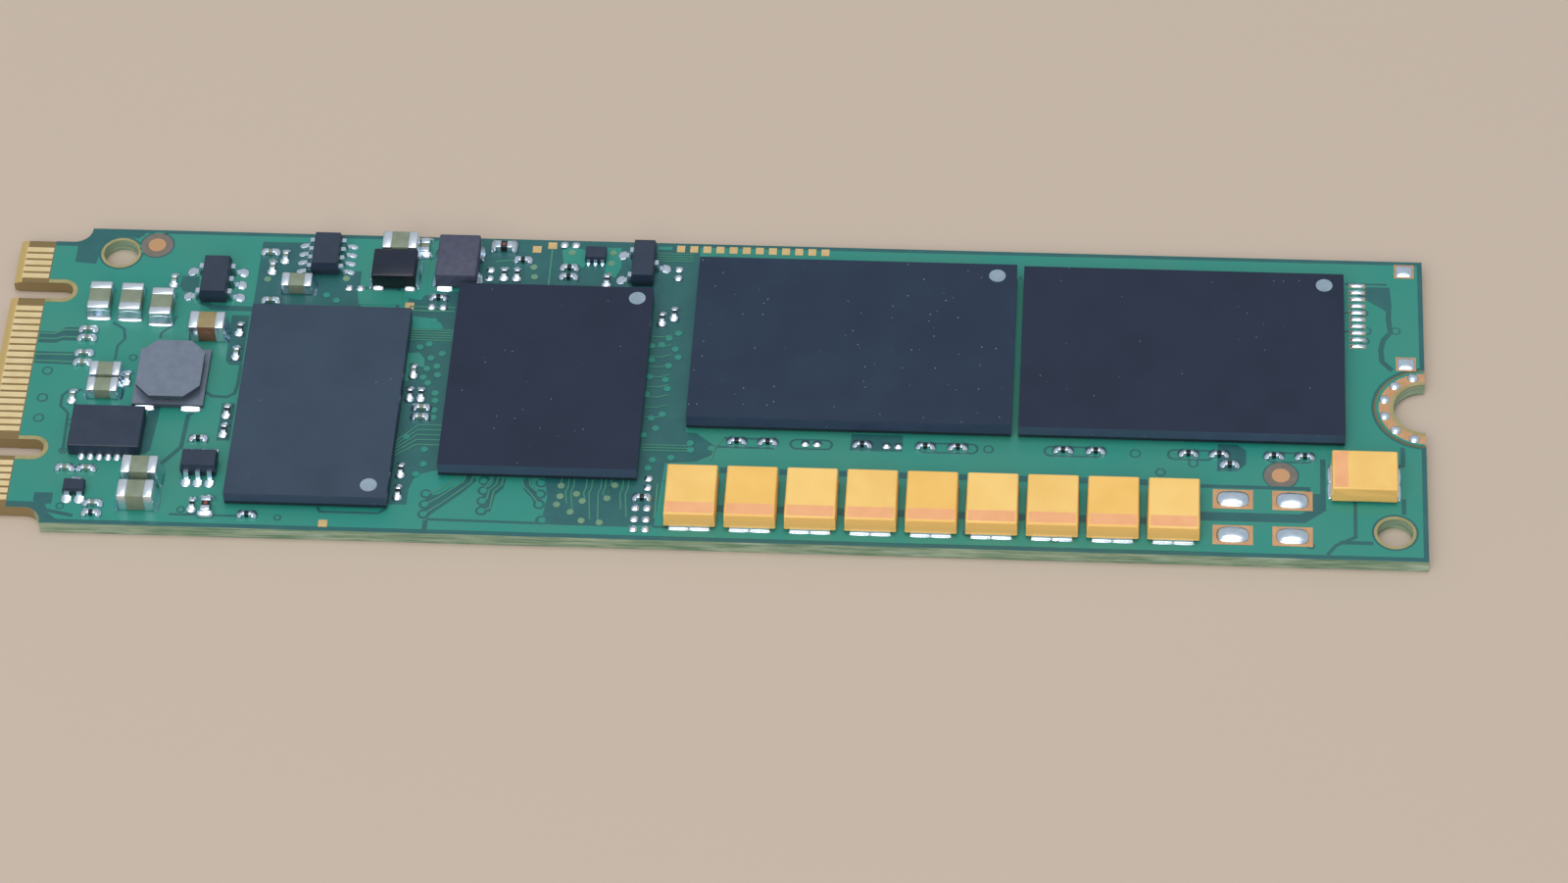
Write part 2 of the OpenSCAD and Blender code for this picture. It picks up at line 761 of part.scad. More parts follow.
module side_leads(body_w, span, offsets, w, h) {
    for (v = offsets)
        translate([body_w / 2, v, 0]) gull_lead((span - body_w) / 2, w, (h + stand_off) / 2);
}

module five_lead_body() {
    color("black") at_five() moulded_case(sot_w, five_l, sot_h, stand_off, lead_t, 0.1);
}

module five_lead_leads() {
    pitch = five_l / 3.05;
    color("gainsboro") at_five() {
        side_leads(sot_w, sot_span, [-pitch, 0, pitch], lead_w, sot_h);
        mirror([1, 0, 0]) side_leads(sot_w, sot_span, [-pitch, pitch], lead_w, sot_h);
    }
}

module eight_lead_body() {
    color("black") at_eight() moulded_case(sot_w, eight_l, sot_h, stand_off, lead_t, 0.1);
}

module eight_lead_leads() {
    pitch = eight_l / 3.92;
    offsets = [-1.5 * pitch, -0.5 * pitch, 0.5 * pitch, 1.5 * pitch];
    color("gainsboro") at_eight() {
        side_leads(sot_w, sot_span, offsets, pitch * 0.45, sot_h);
        mirror([1, 0, 0]) side_leads(sot_w, sot_span, offsets, pitch * 0.45, sot_h);
    }
}

module six_lead_body() {
    color("black") at_six() moulded_case(six_l, six_w, 0.95, stand_off, lead_t, 0.06);
}

module six_lead_leads() {
    pitch = six_l / 3.08;
    color("gainsboro") at_six() for (turn = [90, 270])
        rotate([0, 0, turn]) side_leads(six_w, 2.15, [-pitch, 0, pitch], lead_w * 0.75, 0.95);
}

// Leadless power circuit on two rows of pads under its long sides
module at_power() {
    on_board(6.95, -4.6) children();
}

module power_circuit_body() {
    color("black") at_power() translate([0, 0, terminal_t])
        bevelled_block(power_l, power_w, power_h - terminal_t, 0.05);
}

module power_circuit_pads() {
    pitch = power_l / 8;
    color("gainsboro") at_power() {
        for (side = [-1, 1], i = [-3.5:1:3.5])
            if (abs(i) < 3)
                translate([i * pitch, side * (power_w / 2 - 0.2), 0]) block(pitch * 0.55, 0.5, terminal_t);
        block(power_l * 0.6, power_w * 0.45, terminal_t);
    }
}

// Three lead parts
module at_diode() {
    on_board(flash_u - 3.22, controller_back + 2.35) children();
}

module diode_body() {
    color("black") at_diode() moulded_case(1.3, 2.85, 1, stand_off, lead_t, 0.08);
}

module diode_leads() {
    color("gainsboro") at_diode() {
        side_leads(1.3, 2.4, [0], lead_w, 1);
        mirror([1, 0, 0]) side_leads(1.3, 2.4, [-0.95, 0.95], lead_w, 1);
    }
}

module at_transistor() {
    on_board(5.65, -8.6) children();
}

module transistor_body() {
    color("black") at_transistor() moulded_case(1.2, 0.8, 0.55, stand_off, lead_t, 0.04);
}

module transistor_leads() {
    color("gainsboro") at_transistor() {
        rotate([0, 0, 270]) side_leads(0.8, 1.3, [-0.35, 0.35], 0.3, 0.55);
        rotate([0, 0, 90]) side_leads(0.8, 1.3, [0], 0.3, 0.55);
    }
}

module at_sensor() {
    on_board(flash_u - 6.02, back_y - 1.3) children();
}

module sensor_body() {
    color("black") at_sensor() moulded_case(1.2, 0.9, 0.55, stand_off, lead_t, 0.04);
}

module sensor_leads() {
    color("gainsboro") at_sensor() for (turn = [90, 270])
        rotate([0, 0, turn]) side_leads(0.9, 1.25, [-0.4, 0, 0.4], 0.18, 0.55);
}

// Bare lands: test pads, fiducials, and the footprints of parts that are not fitted
module square_land(side_l, side_w) {
    block(side_l, side_w, foil_t);
}

module test_pads() {
    color("peru") {
        for (i = [0:pad_count - 1])
            on_board(flash_u - 1.22 + i * pad_pitch, back_y - 0.45) square_land(pad_side * 0.9, pad_side);
        on_board(controller_u + 4.02, back_y - 0.76) square_land(pad_side, pad_side);
        on_board(controller_u + 4.89, back_y - 0.45) square_land(pad_side, pad_side);
        on_board(controller_u - 2.85, controller_back - 0.95) square_land(pad_side, pad_side);
        on_board(memory_u + 5.56, front_y + 0.5) square_land(pad_side, pad_side);
        on_board(7.85, back_y - 1.18) cylinder(r = fiducial_r, h = foil_t);
        translate([screw_x - 8, front_y + 5.85, board_t]) cylinder(r = fiducial_r, h = foil_t);
    }
}

module connector_places() {
    for (i = [0:land_count - 1])
        on_board(flash_end + connector_gap, back_y - 1.95 - i * land_pitch) children();
}

module anchor_places() {
    for (drop = [0.77, 7.76])
        translate([screw_x - 1.02, back_y - drop, board_t]) children();
}

module connector_lands() {
    color("peru") {
        connector_places() square_land(land_l, land_w);
        anchor_places() square_land(1.12, 1.02);
    }
}

module connector_solder() {
    color("lightsteelblue") translate([0, 0, foil_t]) {
        connector_places() block(land_l - 0.08, land_w - 0.06, solder_h);
        anchor_places() block(1, 0.9, solder_h);
    }
}

module spare_places() {
    for (i = [0, 1], side = [-1, 1])
        on_board(row_u + (row_count + i) * (row_pitch - 0.05) + 0.38, row_v + 0.06 + side * 1.27) children();
}

// Land pairs of small chips that are not fitted, as [u, v, turn]
open_behind_memory = [5.47, 4.13, 0];
open_beside_controller = [-1.25, 1.02, 0];
open_behind_controller = [[1.52, 2.8, 90], [5.9, 0.4, 0]];
open_beside_flash = [[-1.22, 8.6, 90], [-1.83, -7, 90], [-2.1, -8.8, 0], [-2.1, -9.6, 0], [-2.1, -10.3, 0]];
open_before_flash = [6.98, 11.48];

open_places = concat(
    [[memory_u + open_behind_memory[0], back_y - open_behind_memory[1], 0]],
    [[controller_u + open_beside_controller[0], controller_back - open_beside_controller[1], 0]],
    [for (p = open_behind_controller) [controller_u + p[0], back_y - p[1], p[2]]],
    [for (p = open_beside_flash) [flash_u + p[0], p[1], p[2]]],
    [for (d = open_before_flash) [along_flash(d), flash_front - row_drop, 0]]);

module open_pairs() {
    for (place = open_places, side = [-1, 1])
        at_chip(place) translate([side * open_step, 0, 0]) children();
}

module spare_lands() {
    color("peru") {
        spare_places() square_land(spare_l, spare_w);
        open_pairs() square_land(open_l, open_w);
    }
}

module spare_solder() {
    color("lightsteelblue") translate([0, 0, foil_t]) {
        spare_places() solder_dome(spare_w * 0.42, 2 * solder_h);
        open_pairs() solder_dome(open_w * 0.45, solder_h);
    }
}

circuit_board();
top_edge_contacts();
bottom_edge_contacts();
top_screw_ring();
bottom_screw_ring();
screw_ring_solder();
memory_body();
memory_substrate();
memory_balls();
controller_body();
controller_substrate();
controller_balls();
flash_1_body();
flash_1_substrate();
flash_1_balls();
flash_2_body();
flash_2_substrate();
flash_2_balls();
for (index = [1:10])
    tantalum_capacitor(index);
tantalum_terminals();
power_inductor_core();
power_inductor_winding();
power_inductor_terminals();
black_choke_body();
brown_choke_body();
choke_terminals();
ceramic_capacitors();
ceramic_capacitor_terminals();
small_capacitors();
small_resistors();
small_chip_terminals();
five_lead_body();
five_lead_leads();
eight_lead_body();
eight_lead_leads();
six_lead_body();
six_lead_leads();
power_circuit_body();
power_circuit_pads();
diode_body();
diode_leads();
transistor_body();
transistor_leads();
sensor_body();
sensor_leads();
test_pads();
connector_lands();
connector_solder();
spare_lands();
spare_solder();
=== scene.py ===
import math

import bpy
import bmesh
from mathutils import Matrix, Vector


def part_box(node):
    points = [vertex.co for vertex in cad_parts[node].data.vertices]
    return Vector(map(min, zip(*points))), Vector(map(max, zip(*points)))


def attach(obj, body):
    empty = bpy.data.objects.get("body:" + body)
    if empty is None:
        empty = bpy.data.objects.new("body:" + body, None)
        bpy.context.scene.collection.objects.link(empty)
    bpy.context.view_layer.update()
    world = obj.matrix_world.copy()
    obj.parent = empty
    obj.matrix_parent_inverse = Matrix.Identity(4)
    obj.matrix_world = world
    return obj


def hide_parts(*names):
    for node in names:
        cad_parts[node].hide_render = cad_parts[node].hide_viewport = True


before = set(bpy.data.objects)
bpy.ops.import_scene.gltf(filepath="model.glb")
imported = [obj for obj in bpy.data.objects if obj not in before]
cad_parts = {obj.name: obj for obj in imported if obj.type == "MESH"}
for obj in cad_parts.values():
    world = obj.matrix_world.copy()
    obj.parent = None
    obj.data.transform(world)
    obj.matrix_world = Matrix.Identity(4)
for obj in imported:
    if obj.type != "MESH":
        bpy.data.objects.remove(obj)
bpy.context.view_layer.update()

# Camera
# A long lens from the front and above, as the card was photographed. It has no shift
# and no depth of field.
MM = 0.001
camera_data = bpy.data.cameras.new("camera")
camera_data.sensor_width = 36
camera_data.lens = 126.4
camera_data.clip_start = 0.01
camera = bpy.data.objects.new("camera", camera_data)
bpy.context.scene.collection.objects.link(camera)
camera_place = Vector((21.097, -201.473, 232.100)) * MM
right = Vector((0.99814791, 0.05625151, -0.02316275))
up = Vector((-0.02765527, 0.75871892, 0.65083084))
back = Vector((0.05418424, -0.64898487, 0.75886936))
camera.matrix_world = Matrix.Translation(camera_place) @ Matrix((right, up, back)).transposed().to_4x4()
bpy.context.scene.camera = camera


# Circuit board
# Glass fibre laminate with copper on both faces, under a gloss green solder mask. It is
# routed from a panel, so its edges and the two key notches show the pale bare laminate.
def linear(hex_colour):
    channels = [int(hex_colour[i:i + 2], 16) / 255 for i in (1, 3, 5)]
    return tuple(c / 12.92 if c <= 0.04045 else ((c + 0.055) / 1.055) ** 2.4 for c in channels) + (1.0,)


def add_node(material, kind, sockets=None, **settings):
    node = material.node_tree.nodes.new(kind)
    for name, value in settings.items():
        setattr(node, name, value)
    for name, value in (sockets or {}).items():
        if isinstance(value, bpy.types.NodeSocket):
            material.node_tree.links.new(value, node.inputs[name])
        else:
            node.inputs[name].default_value = value
    return node


def shader_input(material, name):
    return material.node_tree.nodes["Principled BSDF"].inputs[name]


def new_material(name, **sockets):
    material = bpy.data.materials.new(name)
    material.use_nodes = True
    for socket, value in sockets.items():
        shader_input(material, socket.replace("_", " ")).default_value = value
    return material


def calculate(material, operation, first, second=0.0):
    return add_node(material, "ShaderNodeMath", {0: first, 1: second}, operation=operation).outputs[0]


def mix_colours(material, share, first, second):
    return add_node(material, "ShaderNodeMix", {0: share, 6: first, 7: second}, data_type="RGBA").outputs[2]


def grain_scale(size_mm):
    return 1 / (size_mm * MM)


def noise(material, place, size_mm, detail):
    return add_node(material, "ShaderNodeTexNoise", {
        "Vector": place, "Scale": grain_scale(size_mm), "Detail": detail}).outputs["Fac"]


def two_tone(material, value, dark, light, start, end):
    """The dark colour where the value is under start, and the light one where it is over end."""
    ramp = add_node(material, "ShaderNodeValToRGB", {"Fac": value})
    for stop, place, colour in zip(ramp.color_ramp.elements, (start, end), (dark, light)):
        stop.position = place
        stop.color = linear(colour)
    return ramp.outputs["Color"]


def upward(material):
    """How far a face looks up: 1 on a top, 0 on a wall and -1 on an underside."""
    normal = add_node(material, "ShaderNodeNewGeometry").outputs["True Normal"]
    return add_node(material, "ShaderNodeSeparateXYZ", {"Vector": normal}).outputs["Z"]


def new_surface(name, dark, light, colour_mm, bump_mm, bump_depth_mm, side=None, **sockets):
    """Clouds the colour between two hex values and roughens the surface with a finer grain.
    Upright faces may take another colour, mostly painted light or shade on the sides."""
    material = new_material(name, **sockets)
    place = add_node(material, "ShaderNodeTexCoord").outputs["Object"]
    colour = two_tone(material, noise(material, place, colour_mm, 4.0), dark, light, 0.3, 0.7)
    if side:
        is_side = calculate(material, "LESS_THAN", upward(material), 0.5)
        colour = mix_colours(material, is_side, colour, linear(side))
    bump = add_node(material, "ShaderNodeBump", {
        "Height": noise(material, place, bump_mm, 3.0), "Distance": bump_depth_mm * MM})
    links = material.node_tree.links
    links.new(colour, shader_input(material, "Base Color"))
    links.new(bump.outputs["Normal"], shader_input(material, "Normal"))
    return material


# Epoxy mask on laminate: dark green and glossy where no copper lies under it. The routed
# sides and the contact zone are bare laminate, pale olive and dull.
board_t = 0.8
mask_depth = 0.015
tongue_start = -36.4
tip_start = -39.55
board_material = new_surface("mask_on_laminate", "#1D5B5F", "#226465", 1.2, 0.12, 0.002,
                             Roughness=0.42, IOR=1.52)
mask_colour = shader_input(board_material, "Base Color").links[0].from_socket
board_place = add_node(board_material, "ShaderNodeTexCoord").outputs["Object"]
board_xyz = add_node(board_material, "ShaderNodeSeparateXYZ", {"Vector": board_place})
is_flat = calculate(board_material, "ABSOLUTE", upward(board_material))
is_flat = calculate(board_material, "GREATER_THAN", is_flat, 0.7)
from_middle = calculate(board_material, "SUBTRACT", board_xyz.outputs["Z"], board_t / 2 * MM)
from_middle = calculate(board_material, "ABSOLUTE", from_middle)
is_outer = calculate(board_material, "GREATER_THAN", from_middle, (board_t / 2 - mask_depth) * MM)
is_masked = calculate(board_material, "MULTIPLY", is_flat, is_outer)


def cloth_noise(stretch, size_mm, detail):
    """Noise drawn out along the card, as the glass cloth shows in a routed side."""
    mapping = add_node(board_material, "ShaderNodeMapping", {"Vector": board_place, "Scale": stretch})
    return noise(board_material, mapping.outputs["Vector"], size_mm, detail)


plies = two_tone(board_material, cloth_noise((0.4, 0.4, 6.0), 0.8, 5.0), "#648A6F", "#A5B89E", 0.35, 0.68)
torn_glass = cloth_noise((0.5, 0.5, 3.0), 2.5, 6.0)
is_torn = add_node(board_material, "ShaderNodeMapRange",
                   {0: torn_glass, 1: 0.55, 2: 0.68, 3: 0.0, 4: 0.8}).outputs[0]
is_tongue = calculate(board_material, "LESS_THAN", board_xyz.outputs["X"], tongue_start * MM)
is_tip = calculate(board_material, "LESS_THAN", board_xyz.outputs["X"], tip_start * MM)
side_resin = mix_colours(board_material, is_torn, plies, linear("#BCCFC0"))
side_resin = mix_colours(board_material, is_tongue, side_resin, linear("#8E7A52"))
zone_resin = mix_colours(board_material, is_tip, linear("#7C683F"), linear("#BCA266"))
bare_colour = mix_colours(board_material, is_flat, side_resin, zone_resin)
board_colour = mix_colours(board_material, is_masked, bare_colour, mask_colour)
board_material.node_tree.links.new(board_colour, shader_input(board_material, "Base Color"))


def dress(node, material):
    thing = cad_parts[node]
    thing.data.materials.clear()
    thing.data.materials.append(material)


dress("circuit_board", board_material)


def make_piece(name, mesh, materials, replaced=()):
    """Turns a mesh drawn in millimetres into a piece of the card."""
    if isinstance(mesh, bmesh.types.BMesh):
        bmesh.ops.recalc_face_normals(mesh, faces=mesh.faces)
        data = bpy.data.meshes.new(name)
        mesh.to_mesh(data)
        mesh.free()
    else:
        data = mesh
        data.name = name
    data.transform(Matrix.Scale(MM, 4))
    for material in materials:
        data.materials.append(material)
    piece = bpy.data.objects.new(name, data)
    bpy.context.scene.collection.objects.link(piece)
    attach(piece, "root")
    if replaced:
        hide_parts(*replaced)
    return piece


def arc(cx, cy, r, start, end, steps=16):
    turns = [math.radians(start + (end - start) * i / steps) for i in range(steps + 1)]
    return [(cx + r * math.cos(a), cy + r * math.sin(a)) for a in turns]


def pierced_sheet(outlines, z0, z1):
    """A flat sheet between two heights: outer outlines, with any outline inside them a hole."""
    curve = bpy.data.curves.new("sheet", "CURVE")
    curve.dimensions = "2D"
    curve.fill_mode = "BOTH"
    curve.extrude = (z1 - z0) / 2
    for outline in outlines:
        spline = curve.splines.new("POLY")
        spline.points.add(len(outline) - 1)
        for point, (x, y) in zip(spline.points, outline):
            point.co = (x, y, 0, 1)
        spline.use_cyclic_u = True
    carrier = bpy.data.objects.new("sheet", curve)
    bpy.context.scene.collection.objects.link(carrier)
    mesh = bpy.data.meshes.new_from_object(carrier.evaluated_get(bpy.context.evaluated_depsgraph_get()))
    mesh.transform(Matrix.Translation((0, 0, (z0 + z1) / 2)))
    bpy.data.objects.remove(carrier)
    return mesh


# Copper planes under the mask. They stop short of the card's edges, the holes, the notches
# and the screw ring, and the mask looks a lighter, bluer green over them.
tongue_end = -38.0
shoulder = -36.0
edge_gap = 0.28
shoulder_lead = 0.1
corner_l = 0.9
corner_w = 0.8
screw_gap_r = 3.0
hole_gap_r = 1.28
fiducial_gap_r = 1.0
half_w = 11.0
half_l = 40.0
tongue_half = 9.925
key_rows = (6.125, -5.625)
key_reach = -37.1
bare_r = 0.88
hole_1 = (-34.15, 9.15)
hole_2 = (38.2, -9.0)
copper_top = board_t + 0.011

plane_outline = [(tongue_end, -tongue_half + edge_gap), (shoulder - shoulder_lead, -tongue_half + edge_gap)]
plane_outline += [(shoulder + edge_gap, -half_w + corner_w), (shoulder + corner_l, -half_w + edge_gap)]
plane_outline += [(half_l - edge_gap, -half_w + edge_gap)]
plane_outline += arc(half_l, 0, screw_gap_r, 265, 95)
plane_outline += [(half_l - edge_gap, half_w - edge_gap), (shoulder + corner_l, half_w - edge_gap)]
plane_outline += [(shoulder + edge_gap, half_w - corner_w)]
plane_outline += [(shoulder - shoulder_lead, tongue_half - edge_gap)]
plane_outline += [(tongue_end, tongue_half - edge_gap)]
for key in key_rows:
    plane_outline += [(tongue_end, key + bare_r)]
    plane_outline += arc(key_reach, key, bare_r, 90, -90, 12)
    plane_outline += [(tongue_end, key - bare_r)]
plane_holes = [arc(x, y, hole_gap_r, 0, 348, 30) for x, y in (hole_1, hole_2)]
fiducials = ((-32.15, 9.82), (32.0, -5.15))
plane_holes += [arc(x, y, fiducial_gap_r, 0, 348, 30) for x, y in fiducials]
copper_mask = new_surface("mask_on_copper", "#20897E", "#36897A", 6.0, 0.15, 0.0015,
                          Roughness=0.34, IOR=1.52)
make_piece("copper_planes", pierced_sheet([plane_outline] + plane_holes, board_t, copper_top),
           [copper_mask])


# Clearances and tracks
# The planes are cut through by clearances, where the mask sinks to the laminate and looks
# dark, and fine tracks and their via lands stand up again inside the dark areas.
def signed_area(outline):
    return sum(a[0] * b[1] - b[0] * a[1] for a, b in zip(outline, outline[1:] + outline[:1])) / 2


def prism(mesh, outline, z0, z1):
    if signed_area(outline) < 0:
        outline = outline[::-1]
    low = [mesh.verts.new((x, y, z0)) for x, y in outline]
    top = [mesh.verts.new((x, y, z1)) for x, y in outline]
    faces = [mesh.faces.new(top), mesh.faces.new(low[::-1])]
    for i in range(len(outline)):
        j = (i + 1) % len(outline)
        faces.append(mesh.faces.new((low[i], low[j], top[j], top[i])))
    return faces


def ribbon(mesh, points, width, z0, z1):
    """A strip of even width along a line of points, mitred at its bends."""
    sides = []
    for i, (x, y) in enumerate(points):
        before = Vector(points[max(i - 1, 0)])
        here = Vector((x, y))
        after = Vector(points[min(i + 1, len(points) - 1)])
        one = (here - before).normalized() if i else (after - here).normalized()
        two = (after - here).normalized() if i < len(points) - 1 else one
        normal = (one + two).normalized().orthogonal()
        stretch = 1 / max(normal.dot(one.orthogonal()), 0.4)
        sides.append((here + normal * width / 2 * stretch, here - normal * width / 2 * stretch))
    rings = []
    for left, right_side in sides:
        rings.append([mesh.verts.new((left.x, left.y, z1)), mesh.verts.new((right_side.x, right_side.y, z1)),
                      mesh.verts.new((right_side.x, right_side.y, z0)), mesh.verts.new((left.x, left.y, z0))])
    for a, b in zip(rings, rings[1:]):
        for k in range(4):
            mesh.faces.new((a[k], a[(k + 1) % 4], b[(k + 1) % 4], b[k]))
    mesh.faces.new(rings[0])
    mesh.faces.new(rings[-1][::-1])


def disc(mesh, x, y, r, z0, z1, sides=20):
    return prism(mesh, arc(x, y, r, 0, 360 * (sides - 1) / sides, sides - 1), z0, z1)


sunk_top = copper_top + 0.0015
sunk = bmesh.new()
dark_areas = [
    [(-36.7, 8.35), (-35.5, 8.25), (-35.35, 9.15), (-35.15, 9.75), (-34.5, 10.42), (-33.3, 10.3),
     (-32.95, 10.6), (-33.0, 10.72), (-35.1, 10.72), (-35.9, 10.1), (-36.7, 9.75)],
    [(-37.95, 3.0), (-37.0, 3.0), (-36.5, 3.35), (-35.6, 3.4), (-35.6, 2.35), (-36.6, 2.35), (-36.95, 2.15),
     (-37.95, 2.15)],
    [(-37.95, 1.5), (-35.6, 1.5), (-35.6, 0.55), (-37.95, 0.6)],
    [(-27.2, 4.6), (-26.2, 4.6), (-26.2, 0.85), (-26.9, 0.85), (-27.15, 1.15)],
    [(-26.95, -2.0), (-26.2, -2.0), (-26.2, -4.75), (-26.95, -4.75)],
    [(-30.4, 7.5), (-29.4, 7.5), (-29.4, 6.3), (-30.2, 6.3), (-30.45, 6.7)],
    [(-26.1, 10.3), (-23.3, 10.3), (-23.3, 8.2), (-20.2, 8.2), (-20.1, 5.1), (-26.1, 5.2)],
    [(-31.0, -2.4), (-30.35, -2.4), (-30.55, -5.6), (-30.8, -5.9), (-31.2, -5.9)],
    [(-36.55, -8.85), (-35.5, -8.85), (-35.5, -9.65), (-36.2, -9.7), (-36.55, -9.4)],
    [(-17.3, 6.3), (-14.3, 6.9), (-14.3, -6.4), (-15.3, -6.75), (-15.7, -7.15), (-15.9, -7.9), (-15.9, -9.0),
     (-17.3, -9.0)],
    [(-13.5, 10.72), (-4.9, 10.72), (-4.9, 6.5), (-13.5, 6.5)],
    [(-4.9, 10.72), (-1.0, 10.72), (-0.9, -3.2), (-0.3, -3.25), (0.9, -4.25), (0.75, -4.75), (-0.2, -5.3),
     (-1.9, -5.5), (-2.2, -10.0), (-8.0, -10.0), (-8.35, -9.6), (-8.2, -8.2), (-8.5, -6.4), (-4.9, -6.4)],
    [(8.3, -3.0), (11.15, -3.0), (11.15, -4.2), (8.25, -4.2)],
    [(28.55, -3.0), (29.6, -3.0), (30.1, -3.4), (30.1, -4.4), (29.6, -4.95), (28.5, -4.95)],
    [(32.9, -8.4), (33.4, -8.4), (34.4, -7.5), (34.4, -6.4), (33.6, -6.4), (33.6, -7.6), (32.9, -7.95)],
    [(36.9, 9.0), (38.15, 9.0), (38.25, 7.6), (37.9, 7.2), (36.3, 8.4)],
]
layer_step = 0.0002
layers = 0
for area in dark_areas:
    prism(sunk, area, board_t, sunk_top + layers * layer_step)
    layers += 1
clearances = [
    (0.13, [(-33.9, 3.8), (-33.2, 3.35), (-33.05, 2.6), (-33.4, 2.05), (-33.4, 1.0)]),
    (0.13, [(-31.05, 2.7), (-31.05, 3.1), (-30.5, 3.7), (-30.35, 4.4)]),
    (0.16, [(-28.0, -1.2), (-27.6, -1.5), (-26.75, -1.55), (-26.35, -1.25), (-26.25, -0.6), (-26.25, 0.9)]),
    (0.2, [(-28.2, -2.3), (-28.75, -3.0), (-28.85, -5.3), (-29.8, -6.55)]),
    (0.13, [(-34.9, -1.3), (-35.7, -1.4), (-36.0, -1.75), (-36.0, -2.5), (-35.5, -3.05), (-35.4, -5.9)]),
    (0.3, [(-29.1, 5.6), (-28.4, 5.15), (-26.1, 5.1)]),
    (0.2, [(-38.0, 9.72), (-36.3, 9.72)]),
    (0.2, [(-38.0, -9.65), (-36.0, -9.65), (-35.8, -10.1), (-34.2, -10.45)]),
    (0.12, [(-28.9, -10.15), (-25.9, -10.15), (-25.2, -10.15)]),
    (0.14, [(-20.8, -9.35), (-20.6, -9.68), (-17.4, -9.68), (-17.0, -9.3)]),
    (0.22, [(-14.75, -10.05), (-14.75, -10.75)]),
    (0.4, [(-12.5, -6.9), (-12.9, -7.5), (-14.1, -8.4), (-14.9, -8.6)]),
    (0.5, [(-12.4, -6.9), (-13.2, -7.9), (-14.3, -9.0), (-14.9, -9.6)]),
    (0.55, [(-10.9, -6.9), (-11.0, -7.5), (-11.4, -8.0), (-11.6, -9.3)]),
    (0.4, [(-9.5, -6.9), (-9.3, -7.6), (-8.8, -8.2), (-8.6, -8.75)]),
    (0.4, [(-21.2, 5.3), (-20.4, 5.7), (-20.0, 5.2)]),
    (0.14, [(-17.9, 5.2), (-17.9, 6.9), (-20.3, 6.95)]),
    (0.14, [(-14.7, -10.0), (-8.6, -10.05), (-3.6, -10.05)]),
    (0.14, [(-2.3, -10.05), (-1.5, -10.1), (-1.5, -9.6)]),
    (0.12, [(1.2, -3.55), (4.1, -3.55)]),
    (0.12, [(0.75, -4.2), (1.35, -4.2), (4.1, -4.2)]),
    (0.24, [(34.3, -3.9), (34.3, -7.6)]),
    (0.2, [(27.6, -6.05), (33.5, -6.05), (33.5, -7.3)]),
    (0.5, [(27.6, -8.2), (33.2, -8.2), (34.3, -7.3)]),
    (0.16, [(36.05, -6.9), (36.05, -9.4), (35.0, -10.0), (34.5, -10.7)]),
    (0.2, [(35.2, -9.8), (37.0, -9.8)]),
    (0.2, [(38.7, -2.9), (38.7, -4.2), (38.3, -4.3)]),
    (0.2, [(38.7, -6.6), (38.7, -7.7)]),
    (0.12, [(35.6, 9.2), (38.0, 9.2)]),
    (0.24, [(38.1, 7.8), (38.05, 6.6), (38.15, 5.6), (37.75, 5.0), (37.6, 4.3), (37.65, 3.4), (38.2, 2.75)]),
    (0.1, [(35.6, 7.0), (36.4, 7.0)]),
    (0.1, [(35.6, 5.6), (36.5, 5.6)]),
    (0.14, [(17.32, 9.1), (17.32, 8.9)]),
]
row_y = -3.85
row_r = 0.33
for start, end in ((4.95, 7.25), (12.0, 15.3), (19.0, 22.2), (25.8, 28.3), (31.2, 33.8)):
    stadium = arc(end - row_r, row_y, row_r, -90, 90, 8) + arc(start + row_r, row_y, row_r, 90, 270, 8)
    clearances.append((0.1, stadium + stadium[:1]))
ring_gaps = ((24.0, -3.85, 0.27), (27.2, -4.45, 0.25), (25.4, -5.15, 0.25), (15.9, -3.85, 0.25),
             (-37.1, 0.05, 0.27), (-37.1, -1.95, 0.27), (-37.1, -3.45, 0.27), (-32.4, 1.2, 0.2),
             (-35.4, -5.8, 0.2), (-35.0, -9.8, 0.2), (-28.3, -9.8, 0.2), (36.7, 4.9, 0.25),
             (-35.3, -3.7, 0.2), (-22.9, -10.2, 0.18), (33.6, -10.1, 0.2), (19.7, -10.2, 0.2),
             (14.9, -9.9, 0.2), (37.6, -6.6, 0.22), (36.65, 7.0, 0.24), (36.8, 5.65, 0.26),
             (38.45, 5.7, 0.24))
for x, y, r in ring_gaps:
    ring = arc(x, y, r, 0, 345, 23)
    clearances.append((0.07, ring + ring[:1]))
case_gap_x = 1.38
case_pitch = 3.3
for index in range(8):
    middle = case_gap_x + case_pitch * index
    clearances.append((0.36, [(middle, -5.7), (middle, -6.1)]))
    clearances.append((0.36, [(middle, -8.4), (middle, -8.9)]))
etch_spread = 1.25
land_gap_r = 0.33
for width, line in clearances:
    ribbon(sunk, line, width * etch_spread, board_t, sunk_top + layers * layer_step)
    layers += 1
for x, y in ((-14.9, -8.2), (-14.9, -8.95), (-14.9, -9.65), (-11.75, -7.15), (-11.75, -7.85), (-11.75, -8.6),
             (-11.75, -9.3), (-8.6, -7.2), (-8.6, -8.0), (-8.6, -8.75), (-8.4, -9.85)):
    disc(sunk, x, y, land_gap_r, board_t, sunk_top + layers * layer_step)
    layers += 1
sunk_top += layers * layer_step
make_piece("mask_clearances", sunk, [board_material])

